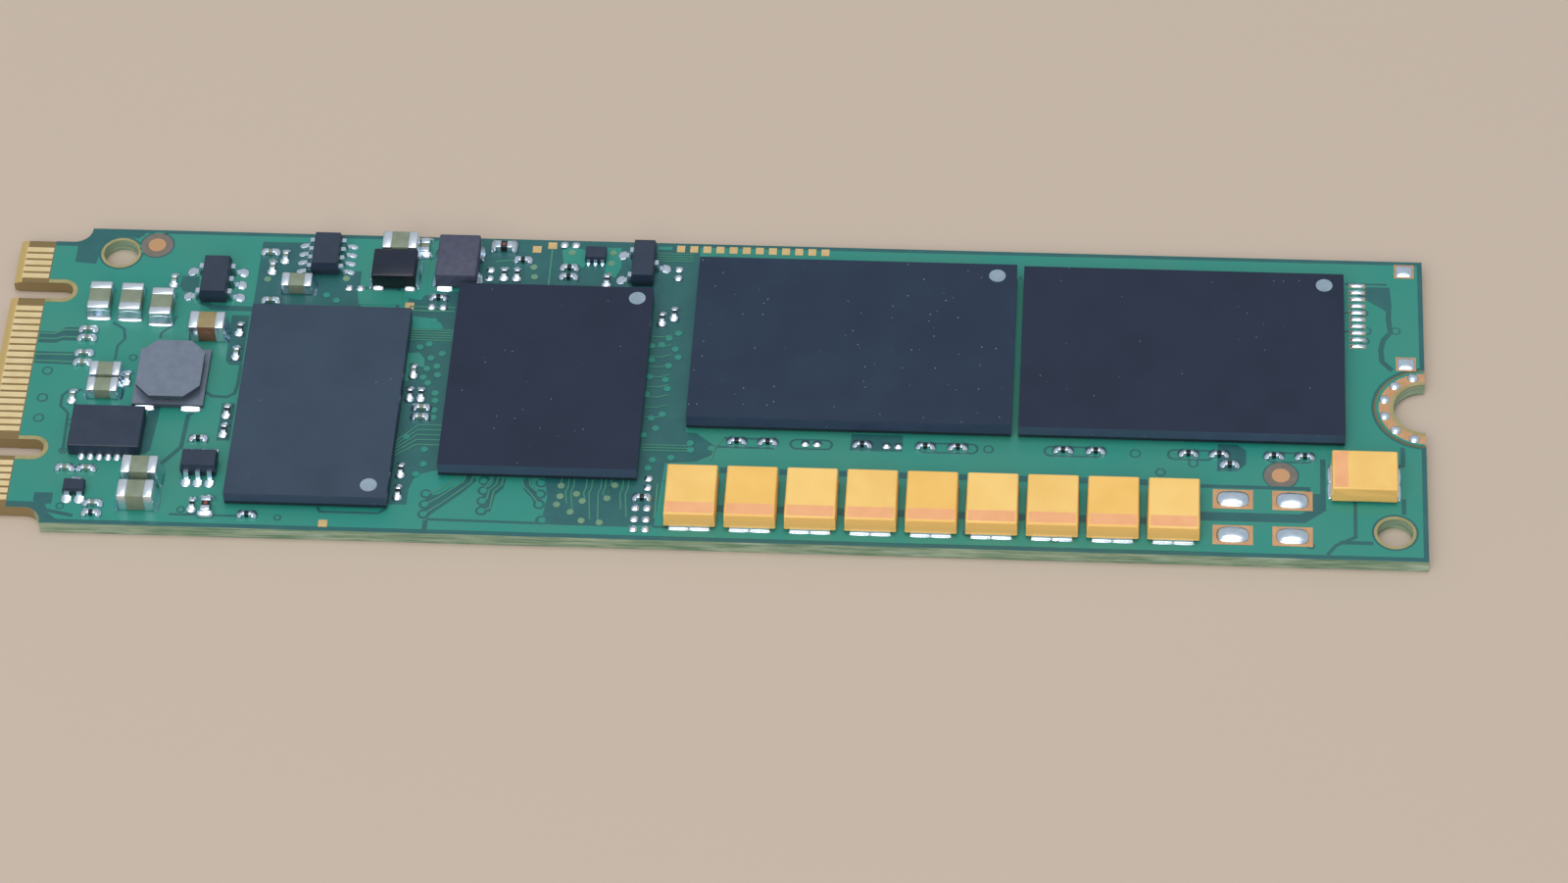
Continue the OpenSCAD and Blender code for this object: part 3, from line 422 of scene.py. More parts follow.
# Islands of plane copper stand inside the larger clearances.
island_top = sunk_top + 0.0015
copper_islands = [
    [(-20.3, 6.75), (-17.75, 6.75), (-17.6, 5.7), (-20.1, 5.65)],
    [(-17.4, 10.6), (-16.35, 10.6), (-16.35, 6.6), (-16.6, 6.1), (-17.7, 6.3)],
    [(-17.1, 4.9), (-15.9, 4.75), (-15.3, 4.4), (-15.1, 3.95), (-17.0, 3.9)],
    [(-17.1, 2.05), (-16.3, 2.15), (-15.95, 1.7), (-15.9, 1.1), (-16.7, 1.0), (-16.7, 0.0), (-17.1, 0.0)],
    [(-8.9, 10.2), (-8.4, 10.5), (-7.6, 10.3), (-7.3, 9.4), (-7.6, 8.9), (-8.7, 9.1)],
    [(-6.4, 10.5), (-5.5, 10.5), (-5.4, 9.0), (-5.7, 8.2), (-6.3, 8.2)],
    [(-3.4, 10.7), (-2.6, 10.7), (-2.6, 10.45), (-3.4, 10.45)],
]
islands_mesh = bmesh.new()
for island in copper_islands:
    prism(islands_mesh, island, board_t, island_top)
make_piece("copper_islands", islands_mesh, [copper_mask])

# Round each key notch and at the tooling holes the mask stops short and the resin shows tan.
bare_resin = new_surface("bare_glass_laminate", "#8E8A5E", "#A79E70", 0.8, 0.1, 0.003,
                         Roughness=0.6, IOR=1.5)
margins = bmesh.new()
notch_margin = 0.26
notch_r = 0.6
rim_r = 1.07
rim_w = 0.17
for key in key_rows:
    r = notch_r + notch_margin / 2
    path = [(tongue_end, key + r)] + arc(key_reach, key, r, 90, -90, 14) + [(tongue_end, key - r)]
    ribbon(margins, path, notch_margin, board_t, copper_top)
for x, y in (hole_1, hole_2):
    rim = arc(x, y, rim_r, 0, 350, 35)
    ribbon(margins, rim + rim[:1], rim_w, board_t, copper_top)
make_piece("bare_margins", margins, [bare_resin])

# The mask leaves a wide round opening about each fiducial, down to brown bare resin.
opening_resin = new_surface("brown_resin_in_opening", "#6B655F", "#77716B", 0.4, 0.1, 0.003,
                            Roughness=0.55, IOR=1.5)
openings = bmesh.new()
opening_r = 0.92
opening_lift = 0.002
for x, y in fiducials:
    disc(openings, x, y, opening_r, board_t, copper_top + opening_lift, sides=40)
make_piece("fiducial_openings", openings, [opening_resin])


# Tracks and via lands run in the dark areas. The copper shows through the mask as a duller,
# browner green than the planes.
track_top = sunk_top + 0.0025
track_mask = new_surface("mask_on_tracks", "#38806F", "#468A74", 0.9, 0.1, 0.001,
                         Roughness=0.36, IOR=1.52)
tracks = bmesh.new()
track_lines = [
    (0.11, [(-37.95, 2.85), (-37.1, 2.85), (-36.6, 3.15), (-35.6, 3.15)]),
    (0.11, [(-37.95, 2.45), (-36.95, 2.45), (-36.55, 2.62), (-35.6, 2.62)]),
    (0.11, [(-37.95, 1.27), (-35.6, 1.3)]),
    (0.11, [(-37.95, 0.8), (-35.6, 0.75)]),
]
for i in range(5):
    y = 3.1 + 0.19 * i
    track_lines.append((0.08, [(-17.2, y), (-14.5, y)]))
for i in range(5):
    y = -3.2 - 0.36 * i
    track_lines.append((0.08, [(-17.0, y - 1.3 + 0.1 * i), (-15.8, y), (-14.5, y)]))
fan_ends = ((-7.1, -8.6), (-6.8, -9.1), (-6.1, -8.3), (-5.8, -9.7), (-5.3, -9.8), (-5.05, -8.1),
            (-4.75, -7.3), (-7.5, -7.3), (-4.1, -8.9), (-3.8, -9.5))
for i, (x, end) in enumerate(fan_ends):
    track_lines.append((0.08, [(x, -6.8), (x, -7.4), (x - 0.12, -7.8), (x + 0.05 * (i % 2), end)]))
for line in ([(-12.4, -6.8), (-12.5, -7.3), (-13.9, -8.75), (-14.9, -9.65)],
             [(-12.8, -6.8), (-12.9, -7.2), (-14.2, -8.45), (-14.9, -8.95)],
             [(-13.2, -6.8), (-13.4, -7.1), (-14.3, -7.95), (-14.9, -8.2)],
             [(-10.7, -6.8), (-10.8, -7.4), (-11.2, -7.9), (-11.3, -9.1), (-11.75, -9.3)],
             [(-11.0, -6.8), (-11.1, -7.4), (-11.45, -7.8), (-11.5, -8.4), (-11.75, -8.6)],
             [(-11.3, -6.8), (-11.75, -7.85)], [(-9.7, -6.8), (-9.6, -7.4), (-9.1, -8.0), (-8.6, -8.75)],
             [(-9.3, -6.8), (-9.2, -7.4), (-8.6, -8.0)], [(-9.0, -6.8), (-8.6, -7.2)],
             [(-12.6, 9.2), (-11.6, 9.35)], [(-9.45, 10.3), (-9.45, 7.0)],
             [(-1.9, -6.8), (-1.0, -5.8), (-0.9, -5.6)], [(-2.2, -7.0), (-2.2, -9.5)],
             [(1.25, -3.55), (0.8, -4.3), (0.6, -5.2)], [(-17.2, 5.3), (-14.6, 5.3)],
             [(-17.2, 5.6), (-14.6, 5.6)]):
    track_lines.append((0.1, line))
for i in range(4):
    y = 9.6 + 0.18 * i
    track_lines.append((0.07, [(-3.4, y), (-1.3, y)]))
for i in range(3):
    y = -4.2 - 0.2 * i
    track_lines.append((0.07, [(-3.3, y), (-0.6, y)]))
for i in range(9):
    y = 4.0 - 0.75 * i
    track_lines.append((0.07, [(-3.3, y - 0.2), (-2.6, y - 0.2), (-2.1, y)]))
for index, (width, line) in enumerate(track_lines):
    ribbon(tracks, line, width, board_t, track_top + index * layer_step)
track_top += len(track_lines) * layer_step
via_lands = [(-15.7, 4.55), (-15.8, 2.8), (-16.3, 2.55), (-15.0, 2.1), (-15.6, 1.75), (-15.2, 1.15),
             (-15.75, 0.95), (-15.1, 0.5), (-15.9, 0.3), (-15.6, -0.1), (-15.1, -0.85), (-15.05, -1.4),
             (-15.05, -2.1), (-15.05, -2.65), (-16.4, -4.1), (-15.3, -5.0), (-15.25, -6.05),
             (-15.6, -6.8), (-1.8, 4.1), (-2.3, 3.7), (-2.7, 3.2), (-1.9, 2.9), (-1.7, 2.3), (-2.2, 1.65),
             (-2.3, 0.6), (-2.15, -0.05), (-2.3, -1.95), (-2.9, -2.25), (-2.6, -3.0), (-0.6, -4.0),
             (-0.55, -4.5), (0.6, -4.35), (-1.6, -5.1), (-2.6, -5.3), (-2.8, -5.9), (-3.2, 2.05),
             (-3.25, 3.1), (-3.2, 0.8), (-3.3, -0.5), (-3.25, -3.5), (-8.6, -7.2), (-8.6, -8.0),
             (-8.6, -8.75), (-8.35, -9.85), (-7.5, -7.35), (-7.5, -8.1), (-7.65, -8.7), (-6.6, -7.9),
             (-6.25, -8.4), (-6.85, -9.2), (-6.2, -9.8), (-5.2, -9.9), (-4.9, -8.15), (-4.55, -7.2),
             (-11.8, -7.15), (-11.75, -7.85), (-11.75, -8.6), (-11.75, -9.3), (-14.9, -8.2),
             (-14.9, -8.95), (-14.9, -9.65), (-10.4, 8.85), (-10.3, 8.1), (-6.0, 9.3), (-6.05, 8.4),
             (-8.3, 10.05), (-5.95, 10.1), (-22.0, 6.3), (-21.4, 5.9), (-21.0, 7.6), (-25.5, 7.4),
             (-25.4, 8.8)]
make_piece("tracks", tracks, [track_mask])
via_mask = new_surface("thin_mask_on_via_lands", "#5F8D74", "#799B7C", 0.5, 0.1, 0.001,
                       Roughness=0.36, IOR=1.52)
vias = bmesh.new()
via_r = 0.2
for x, y in via_lands:
    # The mask is thin on the lands by the back edge and before the controller's right half.
    is_thin = (y < -7 and x > -8) or y > 7
    for face in disc(vias, x, y, via_r, board_t, track_top + layer_step):
        face.material_index = int(is_thin)
make_piece("via_lands", vias, [copper_mask, via_mask])


# Edge contacts
# Copper fingers plated with nickel and hard gold, so they stand up to being pushed into a
# socket. The satin plating is faintly clouded.
gold = new_surface("hard_gold_plate", "#F6DDA6", "#FFEBBE", 0.8, 0.05, 0.001,
                   Roughness=0.45, Metallic=1.0)
dress("top_edge_contacts", gold)
dress("bottom_edge_contacts", gold)


# Screw ring, lands and fiducials
# Bare copper left open in the mask under a thin clear preservative, so it looks matt orange
# brown. The ring takes the head of the fixing screw and earths the card.
copper = new_surface("bare_copper", "#D8A479", "#E2B88F", 0.5, 0.05, 0.002, Roughness=0.45, Metallic=1.0)
for node in ("top_screw_ring", "bottom_screw_ring", "connector_lands", "spare_lands"):
    dress(node, copper)

# The square test pads are pale from their thin gold, and the round fiducials are bare copper.
def tint_where(material, is_tinted, colour):
    """Gives a surface another colour where the mask is 1."""
    socket = shader_input(material, "Base Color")
    tinted = mix_colours(material, is_tinted, socket.links[0].from_socket, linear(colour))
    material.node_tree.links.new(tinted, socket)


pad_metal = new_surface("thin_gold_on_copper", "#E6C48C", "#F0D29B", 0.5, 0.05, 0.002,
                        Roughness=0.45, Metallic=1.0)
pad_place = add_node(pad_metal, "ShaderNodeTexCoord").outputs["Object"]
for x, y in fiducials:
    reach = add_node(pad_metal, "ShaderNodeVectorMath", {0: pad_place, 1: (x * MM, y * MM, board_t * MM)},
                     operation="DISTANCE").outputs["Value"]
    tint_where(pad_metal, calculate(pad_metal, "LESS_THAN", reach, fiducial_gap_r * MM), "#DDAE84")
dress("test_pads", pad_metal)


def box_mm(node):
    low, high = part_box(node)
    return Vector(low) / MM, Vector(high) / MM


# Mask laps over the ring's outer edge, and its inner edge was bared when the notch was routed.
ring_low, ring_high = box_mm("top_screw_ring")
ring_x = half_l
ring_inner = 1.75
ring_outer = (ring_high.y - ring_low.y) / 2
lap_top = ring_high.z + 0.003
lap_w = 0.16
lap_inset = 0.04
bared_w = 0.22
bared_inset = 0.12
lap = bmesh.new()
ribbon(lap, arc(ring_x, 0, ring_outer - lap_inset, 91, 269, 40), lap_w, board_t, lap_top)
make_piece("mask_over_ring", lap, [copper_mask])
bared = bmesh.new()
ribbon(bared, arc(ring_x, 0, ring_inner + bared_inset, 90, 270, 40), bared_w, board_t, lap_top)
make_piece("bared_ring_edge", bared, [bare_resin])


# Solder
# Lead free solder, reflowed from paste. It wets the ends of each part and freezes as a bright
# fillet between the terminal and its land, and as a dome on a land that holds no part.
# Solder and tin are silver white; the blue in their colours is a painted reflection of cool light.
solder = new_surface("reflowed_solder", "#D3E5F6", "#E6F2FD", 0.4, 0.15, 0.005,
                     Roughness=0.27, Metallic=1.0)
tin = new_surface("matt_tin_plate", "#DDEBF8", "#EEF6FD", 0.3, 0.06, 0.002, Roughness=0.36, Metallic=1.0)
# The balls are painted dark grey, as painted shade in the gap under each package.
ball_solder_in_painted_shade = new_surface("ball_solder_painted_dark", "#4E555E", "#5E666F", 0.3, 0.06, 0.002,
                          Roughness=0.5, Metallic=1.0)
for node in ("memory_balls", "controller_balls", "flash_1_balls", "flash_2_balls"):
    dress(node, ball_solder_in_painted_shade)


def islands(node):
    """The lowest and highest corner, in millimetres, of each separate solid in a node."""
    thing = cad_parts[node]
    mesh = bmesh.new()
    mesh.from_mesh(thing.data)
    mesh.transform(Matrix.Scale(1 / MM, 4) @ thing.matrix_world)
    bmesh.ops.remove_doubles(mesh, verts=mesh.verts, dist=0.0005)
    boxes = []
    seen = set()
    for first in mesh.verts:
        if first in seen:
            continue
        seen.add(first)
        group = [first]
        for vert in group:
            for edge in vert.link_edges:
                other = edge.other_vert(vert)
                if other not in seen:
                    seen.add(other)
                    group.append(other)
        low = Vector([min(v.co[k] for v in group) for k in range(3)])
        high = Vector([max(v.co[k] for v in group) for k in range(3)])
        boxes.append((low, high))
    mesh.free()
    return boxes


def fillet(mesh, x, y, turn, width, reach, height, z0=board_t, hollow=1.0):
    """A fillet on the board at (x, y), against a wall that faces the turn angle. It is concave
    where hollow is 1, and bulges where it is less."""
    rows = [(1.0, 0.0), (0.84, 0.06), (0.62, 0.16), (0.4, 0.34), (0.2, 0.6), (0.07, 0.85), (0.0, 1.0)]
    columns = [-1.0, -0.85, -0.5, 0.0, 0.5, 0.85, 1.0]
    spin = Matrix.Rotation(math.radians(turn), 3, "Z")
    grid = []
    for out, rise in rows:
        bulged = math.sqrt(max(1 - out * out, 0))
        lift = rise * hollow + bulged * (1 - hollow)
        line = []
        for c in columns:
            d = reach * out * (1 - 0.35 * abs(c) ** 3)
            across = c * width / 2 * (1 + 0.12 * out)
            place = spin @ Vector((d, across, 0))
            line.append(mesh.verts.new((x + place.x, y + place.y, z0 + lift * height * (1 - 0.2 * c * c))))
        grid.append(line)
    corner = []
    for c in (columns[0], columns[-1]):
        place = spin @ Vector((0, c * width / 2, 0))
        corner.append(mesh.verts.new((x + place.x, y + place.y, z0)))
    for a, b in zip(grid, grid[1:]):
        for k in range(len(columns) - 1):
            mesh.faces.new((a[k], a[k + 1], b[k + 1], b[k])).smooth = True
    mesh.faces.new([corner[0]] + [line[0] for line in grid])
    mesh.faces.new([corner[1]] + [line[-1] for line in grid][::-1])
    mesh.faces.new(grid[0][::-1] + corner)
    mesh.faces.new(grid[-1] + corner[::-1])


def dome(mesh, low, high, tall, square=2.6, peak=1.0):
    """A cap of solder on the land between two corners. Its outline nears the land's own
    rectangle as square grows, and it ends in a point where peak is less than 1."""
    middle = (low + high) / 2
    half_x = (high.x - low.x) / 2
    half_y = (high.y - low.y) / 2
    sides = 24
    rings = []
    for k in range(7):
        out = math.cos(k / 7 * math.pi / 2)
        rise = math.sin(k / 7 * math.pi / 2) ** (1 / peak)
        ring = []
        for i in range(sides):
            a = 2 * math.pi * i / sides
            c, s = math.cos(a), math.sin(a)
            dx = math.copysign(abs(c) ** (2 / square), c) * half_x * out
            dy = math.copysign(abs(s) ** (2 / square), s) * half_y * out
            ring.append(mesh.verts.new((middle.x + dx, middle.y + dy, low.z + rise * tall)))
        rings.append(ring)
    top = mesh.verts.new((middle.x, middle.y, low.z + tall))
    for a, b in zip(rings, rings[1:]):
        for i in range(sides):
            j = (i + 1) % sides
            mesh.faces.new((a[i], a[j], b[j], b[i])).smooth = True
    for i in range(sides):
        mesh.faces.new((rings[-1][i], rings[-1][(i + 1) % sides], top)).smooth = True
    mesh.faces.new(rings[0][::-1])


# The unfitted connector's lands carry a long bead each. On the unfitted capacitors' lands the
# solder has drawn into a mirror bright cushion, and on the small pairs into a bead or a point.
beads = bmesh.new()
bead_h = 0.1
for low, high in islands("connector_lands"):
    rim = Vector((0.02, 0.0, 0.0)) if high.x - low.x > high.y - low.y + 0.3 else Vector((0.08, 0.08, 0.0))
    top = high.z
    dome(beads, Vector((low.x, low.y, top)) + rim, high - rim, bead_h, square=3.4 if rim.y == 0 else 6.0)
make_piece("connector_beads", beads, [solder], ["connector_solder"])
ring_beads = bmesh.new()
bead_r = 0.31
ring_bead_h = 0.14
bead_sink = 0.01
for low, high in islands("screw_ring_solder"):
    middle = (low + high) / 2
    corner = Vector((bead_r, bead_r, 0))
    foot = Vector((min(middle.x, half_l - bead_r), middle.y, ring_high.z - bead_sink))
    dome(ring_beads, foot - corner, foot + corner, ring_bead_h, square=2.2)
make_piece("ring_beads", ring_beads, [solder], ["screw_ring_solder"])
cushions = bmesh.new()
land_spread = {True: (0.9, 0.57), False: (0.25, 0.23)}
small_cushion_h = 0.13
for low, high in islands("spare_solder"):
    middle = (low + high) / 2
    is_large = high.x - low.x > 0.6
    half = Vector((land_spread[is_large][0], land_spread[is_large][1], 0))
    low_corner = Vector((middle.x, middle.y, low.z)) - half
    pointed = not is_large and middle.x > 5
    tall = high.z - low.z if is_large else small_cushion_h
    dome(cushions, low_corner, low_corner + 2 * half, tall, square=3.0, peak=0.75 if pointed else 1.0)
make_piece("spare_cushions", cushions, [solder], ["spare_solder"])


def rounded_block(mesh, place, size, r, turn=0, segments=2, material=0):
    """A block standing at place (x, y, z of its underside) with all its edges rounded."""
    made = bmesh.ops.create_cube(mesh, size=1.0)["verts"]
    bmesh.ops.scale(mesh, vec=size, verts=made)
    bmesh.ops.rotate(mesh, cent=(0, 0, 0), matrix=Matrix.Rotation(math.radians(turn), 3, "Z"), verts=made)
    bmesh.ops.translate(mesh, vec=(place[0], place[1], place[2] + size[2] / 2), verts=made)
    edges = list({e for v in made for e in v.link_edges})
    before = set(mesh.faces) - {f for v in made for f in v.link_faces}
    bmesh.ops.bevel(mesh, geom=edges, offset=r, segments=segments, profile=0.5, affect="EDGES")
    for face in mesh.faces:
        if face not in before:
            face.material_index = material
            face.smooth = True


# Packages
# Each ball grid package is a laminate substrate with black epoxy moulded over its dies and
# sawn flush. Their sides are painted paler, as painted light from the front. Polished dots mark the first
# pin.
def add_dust(material, colour, spacing_mm, size_mm, share):
    """Scatters small pale specks: one in each cell of the given share of cells."""
    place = add_node(material, "ShaderNodeTexCoord").outputs["Object"]
    cells = add_node(material, "ShaderNodeTexVoronoi", {"Vector": place, "Scale": grain_scale(spacing_mm)})
    near = calculate(material, "LESS_THAN", cells.outputs["Distance"], size_mm / spacing_mm)
    chance = add_node(material, "ShaderNodeSeparateColor", {"Color": cells.outputs["Color"]}).outputs["Red"]
    chosen = calculate(material, "LESS_THAN", chance, share)
    tint_where(material, calculate(material, "MULTIPLY", near, chosen), colour)


# The side colours below are painted light: the upright faces are paler than the tops.
black_epoxy = new_surface("moulded_black_epoxy", "#081C36", "#0F213D", 3.0, 0.06, 0.003, side="#3F526C",
                          Roughness=0.45, IOR=1.45)
add_dust(black_epoxy, "#7D8EA3", 0.5, 0.03, 0.3)
blue_epoxy = new_surface("moulded_blue_black_epoxy", "#0E2540", "#162E47", 3.0, 0.06, 0.003, side="#344360",
                         Roughness=0.45, IOR=1.45)
add_dust(blue_epoxy, "#8C9BAF", 0.42, 0.032, 0.5)
slate_epoxy = new_surface("moulded_slate_epoxy", "#283B50", "#2F4358", 3.0, 0.06, 0.003, side="#3A4A64",
                          Roughness=0.5, IOR=1.45)
add_dust(slate_epoxy, "#8496A6", 0.8, 0.03, 0.2)
# The substrate edges are laminate with painted shade: their near black stands in for the shade in the gap
# under each package.
substrate = new_surface("substrate_edge_and_painted_shade", "#14222F", "#1C2A36", 0.5, 0.05, 0.003, Roughness=0.5, IOR=1.45)
dress("memory_body", slate_epoxy)
dress("controller_body", black_epoxy)
dress("flash_1_body", blue_epoxy)
dress("flash_2_body", black_epoxy)
for name in ("memory", "controller", "flash_1", "flash_2"):
    dress(name + "_substrate", substrate)
polished = new_surface("polished_mould_mark", "#8398A9", "#90A5B5", 0.4, 0.05, 0.001,
                       Roughness=0.4, IOR=1.45)
marks = bmesh.new()
mark_r = 0.47
mark_depth = 0.03
mark_t = 0.002
for name, from_end, from_side, side in (("memory", 1.06, 0.92, 0), ("controller", 0.87, 0.8, 1),
                                        ("flash_1", 1.1, 0.85, 1), ("flash_2", 1.1, 0.85, 1)):
    low, high = box_mm(name + "_body")
    y = high.y - from_side if side else low.y + from_side
    disc(marks, high.x - from_end, y, mark_r, high.z - mark_depth, high.z - mark_depth + mark_t, sides=40)
make_piece("first_pin_marks", marks, [polished])


# Tantalum capacitors
# Yellow epoxy cases moulded over a sintered slug, with a printed stripe at the positive end.
# The walls lean in from the mould's parting line, and the corners are slightly rounded.
stripe_ink = new_surface("printed_stripe", "#EBA977", "#F1B482", 1.0, 0.06, 0.002,
                         Roughness=0.5, IOR=1.45)
case_tints = (("#EDC06A", "#F5CC78"), ("#F2C872", "#F9D07F"), ("#EFBE64", "#F5C66E"))
cases = []
for index, (dark, light) in enumerate(case_tints):
    # The walls' lighter yellow is painted light, set against the shade the lamps leave on them.
    case_epoxy = new_surface(f"moulded_yellow_epoxy_{index + 1}", dark, light, 2.0, 0.08, 0.004,
                             side="#FCCB76", Roughness=0.5, IOR=1.45)
    cases.append(case_epoxy)
stripe_l = 0.93
case_lean = 0.07
case_round = 0.09
solder_across = 0.57
terminal_step = 0.1
case_solder = bmesh.new()
for index in range(10):
    name = f"tantalum_capacitor_{index + 1}"
    low, high = box_mm(name)
    middle = (low + high) / 2
    length = max(high.x - low.x, high.y - low.y)
    width = min(high.x - low.x, high.y - low.y)
    tall = high.z - low.z
    turn = 90 if high.y - low.y > high.x - low.x else 0
    case = bmesh.new()
    bmesh.ops.create_cube(case, size=1.0)
    bmesh.ops.scale(case, vec=(length, width, tall), verts=case.verts)
    for plane, normal in (((-length / 2 + stripe_l, 0, 0), (1, 0, 0)), ((0, 0, 0), (0, 0, 1)),
                          ((0, 0, terminal_step - tall / 2), (0, 0, 1))):
        bmesh.ops.bisect_plane(case, geom=case.verts[:] + case.edges[:] + case.faces[:], plane_co=plane,
                               plane_no=normal)
    for vert in case.verts:
        lean = case_lean if vert.co.z > 0.1 else 0
        sink = terminal_step if vert.co.z < terminal_step - tall / 2 - 0.01 else lean
        if abs(vert.co.x) > length / 2 - 0.01:
            vert.co.x -= math.copysign(sink, vert.co.x)
        vert.co.y -= math.copysign(max(lean, sink * 0.5), vert.co.y)
    for face in case.faces:
        is_stripe = face.normal.z > 0.5 and face.calc_center_median().x < stripe_l - length / 2
        face.material_index = int(is_stripe)
    sharp = [e for e in case.edges if e.is_manifold and e.calc_face_angle() > 0.5]
    bmesh.ops.bevel(case, geom=sharp, offset=case_round, segments=3, profile=0.5, affect="EDGES")
    for face in case.faces:
        face.smooth = abs(face.normal.x) < 0.99 and abs(face.normal.y) < 0.99 and abs(face.normal.z) < 0.99
    spin = Matrix.Rotation(math.radians(turn), 3, "Z")
    bmesh.ops.rotate(case, cent=(0, 0, 0), matrix=spin, verts=case.verts)
    bmesh.ops.translate(case, vec=middle, verts=case.verts)
    make_piece(name + "_case", case, [cases[index * 2 % 3], stripe_ink], [name])
    for end, side in ((0, -1), (0, 1), (180, -1), (180, 1)):
        away = math.radians(turn + end)
        foot = middle.xy + Matrix.Rotation(away, 2) @ Vector((length / 2 - 0.03, side * solder_across))
        fillet(case_solder, foot.x, foot.y, turn + end, width=1.12, reach=0.2, height=0.11, hollow=0.7)
dress("tantalum_terminals", tin)
make_piece("tantalum_solder", case_solder, [solder])


# Power inductor and chokes
# A ground grey ferrite drum on two tinned plates, and two blocks of pressed iron powder. The
# sintered faces are dull and finely pitted.
# The darker side colours of the drum and of the black block are painted shade on their upright faces.
drum_ferrite = new_surface("ground_ferrite", "#636F83", "#6D7A8E", 0.5, 0.07, 0.006, side="#3E4959",
                           Roughness=0.55, IOR=1.6)
dark_powder = new_surface("black_pressed_powder", "#071427", "#0C1B33", 0.6, 0.1, 0.006, side="#0A111C",
                          Roughness=0.35, IOR=1.5)
brown_powder = new_surface("brown_pressed_powder", "#40455C", "#4C5165", 0.35, 0.08, 0.012,
                           Roughness=0.6, IOR=1.5)
winding_resin = new_surface("resin_over_winding", "#0C0F15", "#14171E", 0.5, 0.1, 0.006,
                            Roughness=0.4, IOR=1.5)
dress("power_inductor_core", drum_ferrite)
dress("power_inductor_winding", winding_resin)
dress("power_inductor_terminals", tin)
dress("choke_terminals", tin)
choke_round = 0.12
for name, powder in (("black_choke", dark_powder), ("brown_choke", brown_powder)):
    low, high = box_mm(name + "_body")
    choke = bmesh.new()
    place = ((low.x + high.x) / 2, (low.y + high.y) / 2, low.z)
    rounded_block(choke, place, high - low, choke_round, segments=3)
    make_piece(name + "_block", choke, [powder], [name + "_body"])
inductor_solder = bmesh.new()
low, high = box_mm("power_inductor_core")
for x in (low.x + 0.7, high.x - 0.7):
    fillet(inductor_solder, x, low.y + 0.02, 270, width=1.1, reach=0.3, height=0.22, hollow=0.5)
    fillet(inductor_solder, x, high.y - 0.02, 90, width=1.1, reach=0.3, height=0.22, hollow=0.5)
low, high = box_mm("black_choke_body")
for x, turn in ((low.x, 180), (high.x, 0)):
    fillet(inductor_solder, x, (low.y + high.y) / 2, turn, width=1.9, reach=0.26, height=0.4)
for x in (low.x + 0.35, high.x - 0.35):
    fillet(inductor_solder, x, low.y, 270, width=0.6, reach=0.2, height=0.3, hollow=0.5)
low, high = box_mm("brown_choke_body")
for x, turn in ((low.x, 180), (high.x, 0)):
    for y in (low.y + 0.55, high.y - 0.55):
        fillet(inductor_solder, x, y, turn, width=1.0, reach=0.3, height=0.45, hollow=0.6)
for x in (low.x + 0.5, high.x - 0.5):
    fillet(inductor_solder, x, low.y, 270, width=0.9, reach=0.3, height=0.22, hollow=0.5)
make_piece("inductor_solder", inductor_solder, [solder])


# Ceramic chips
# Fired ceramic blocks with tinned silver ends. The capacitors are tan or olive, the resistors
# carry a black glass coat, and every edge is tumbled round before the ends are dipped.
ceramic = new_surface("fired_ceramic", "#74806E", "#838F7B", 0.5, 0.08, 0.004, Roughness=0.45, IOR=1.6)
brown_ceramic = new_surface("brown_fired_ceramic", "#8C7C54", "#9A8A60", 0.5, 0.08, 0.004, side="#74523A",
                            Roughness=0.45, IOR=1.6)
glass_coat = new_surface("black_glass_coat", "#0D1118", "#161B24", 0.3, 0.1, 0.002,
                         Roughness=0.25, IOR=1.5)
red_dot = new_surface("printed_red_dot", "#7E4238", "#8E4E40", 0.1, 0.05, 0.001, Roughness=0.5, IOR=1.5)


def chips_of(middles, ends):
    """Each chip as x, y, turn, length, width and height, from its ceramic and its two nearest ends."""
    end_boxes = islands(ends)
    chips = []
    for low, high in islands(middles):
        middle = (low + high) / 2
        near = sorted(end_boxes, key=lambda box: ((box[0] + box[1]) / 2 - middle).length)[:2]
        low_all = Vector([min(box[0][k] for box in near) for k in range(3)])
        high_all = Vector([max(box[1][k] for box in near) for k in range(3)])
        span = high_all - low_all
        turn = 0 if span.x > span.y else 90
        chips.append((middle.x, middle.y, turn, max(span.x, span.y), min(span.x, span.y), span.z))
    return chips


body_inset = 0.02


def capped_chip(mesh, solder_mesh, chip, share, r, material, blob):
    """A ceramic block, its two dipped ends, and the solder at each end: blob gives the solder's
    reach, width beside the chip's, rise beside the chip's, and hollowness."""
    x, y, turn, length, width, tall = chip
    away = Vector((math.cos(math.radians(turn)), math.sin(math.radians(turn))))
    cap = length * share
    body = (length - cap, width - 2 * body_inset, tall - 2 * body_inset)
    rounded_block(mesh, (x, y, board_t + body_inset), body, r * 0.6, turn, material=material)
    reach, spread, rise, hollow = blob
    for side in (-1, 1):
        end = away * side * (length - cap) / 2
        rounded_block(mesh, (x + end.x, y + end.y, board_t), (cap, width, tall), r, turn, material=1)
        tip = away * side * (length / 2 - 0.01)
        fillet(solder_mesh, x + tip.x, y + tip.y, turn if side > 0 else turn + 180, width * spread, reach,
               tall * rise, hollow=hollow)


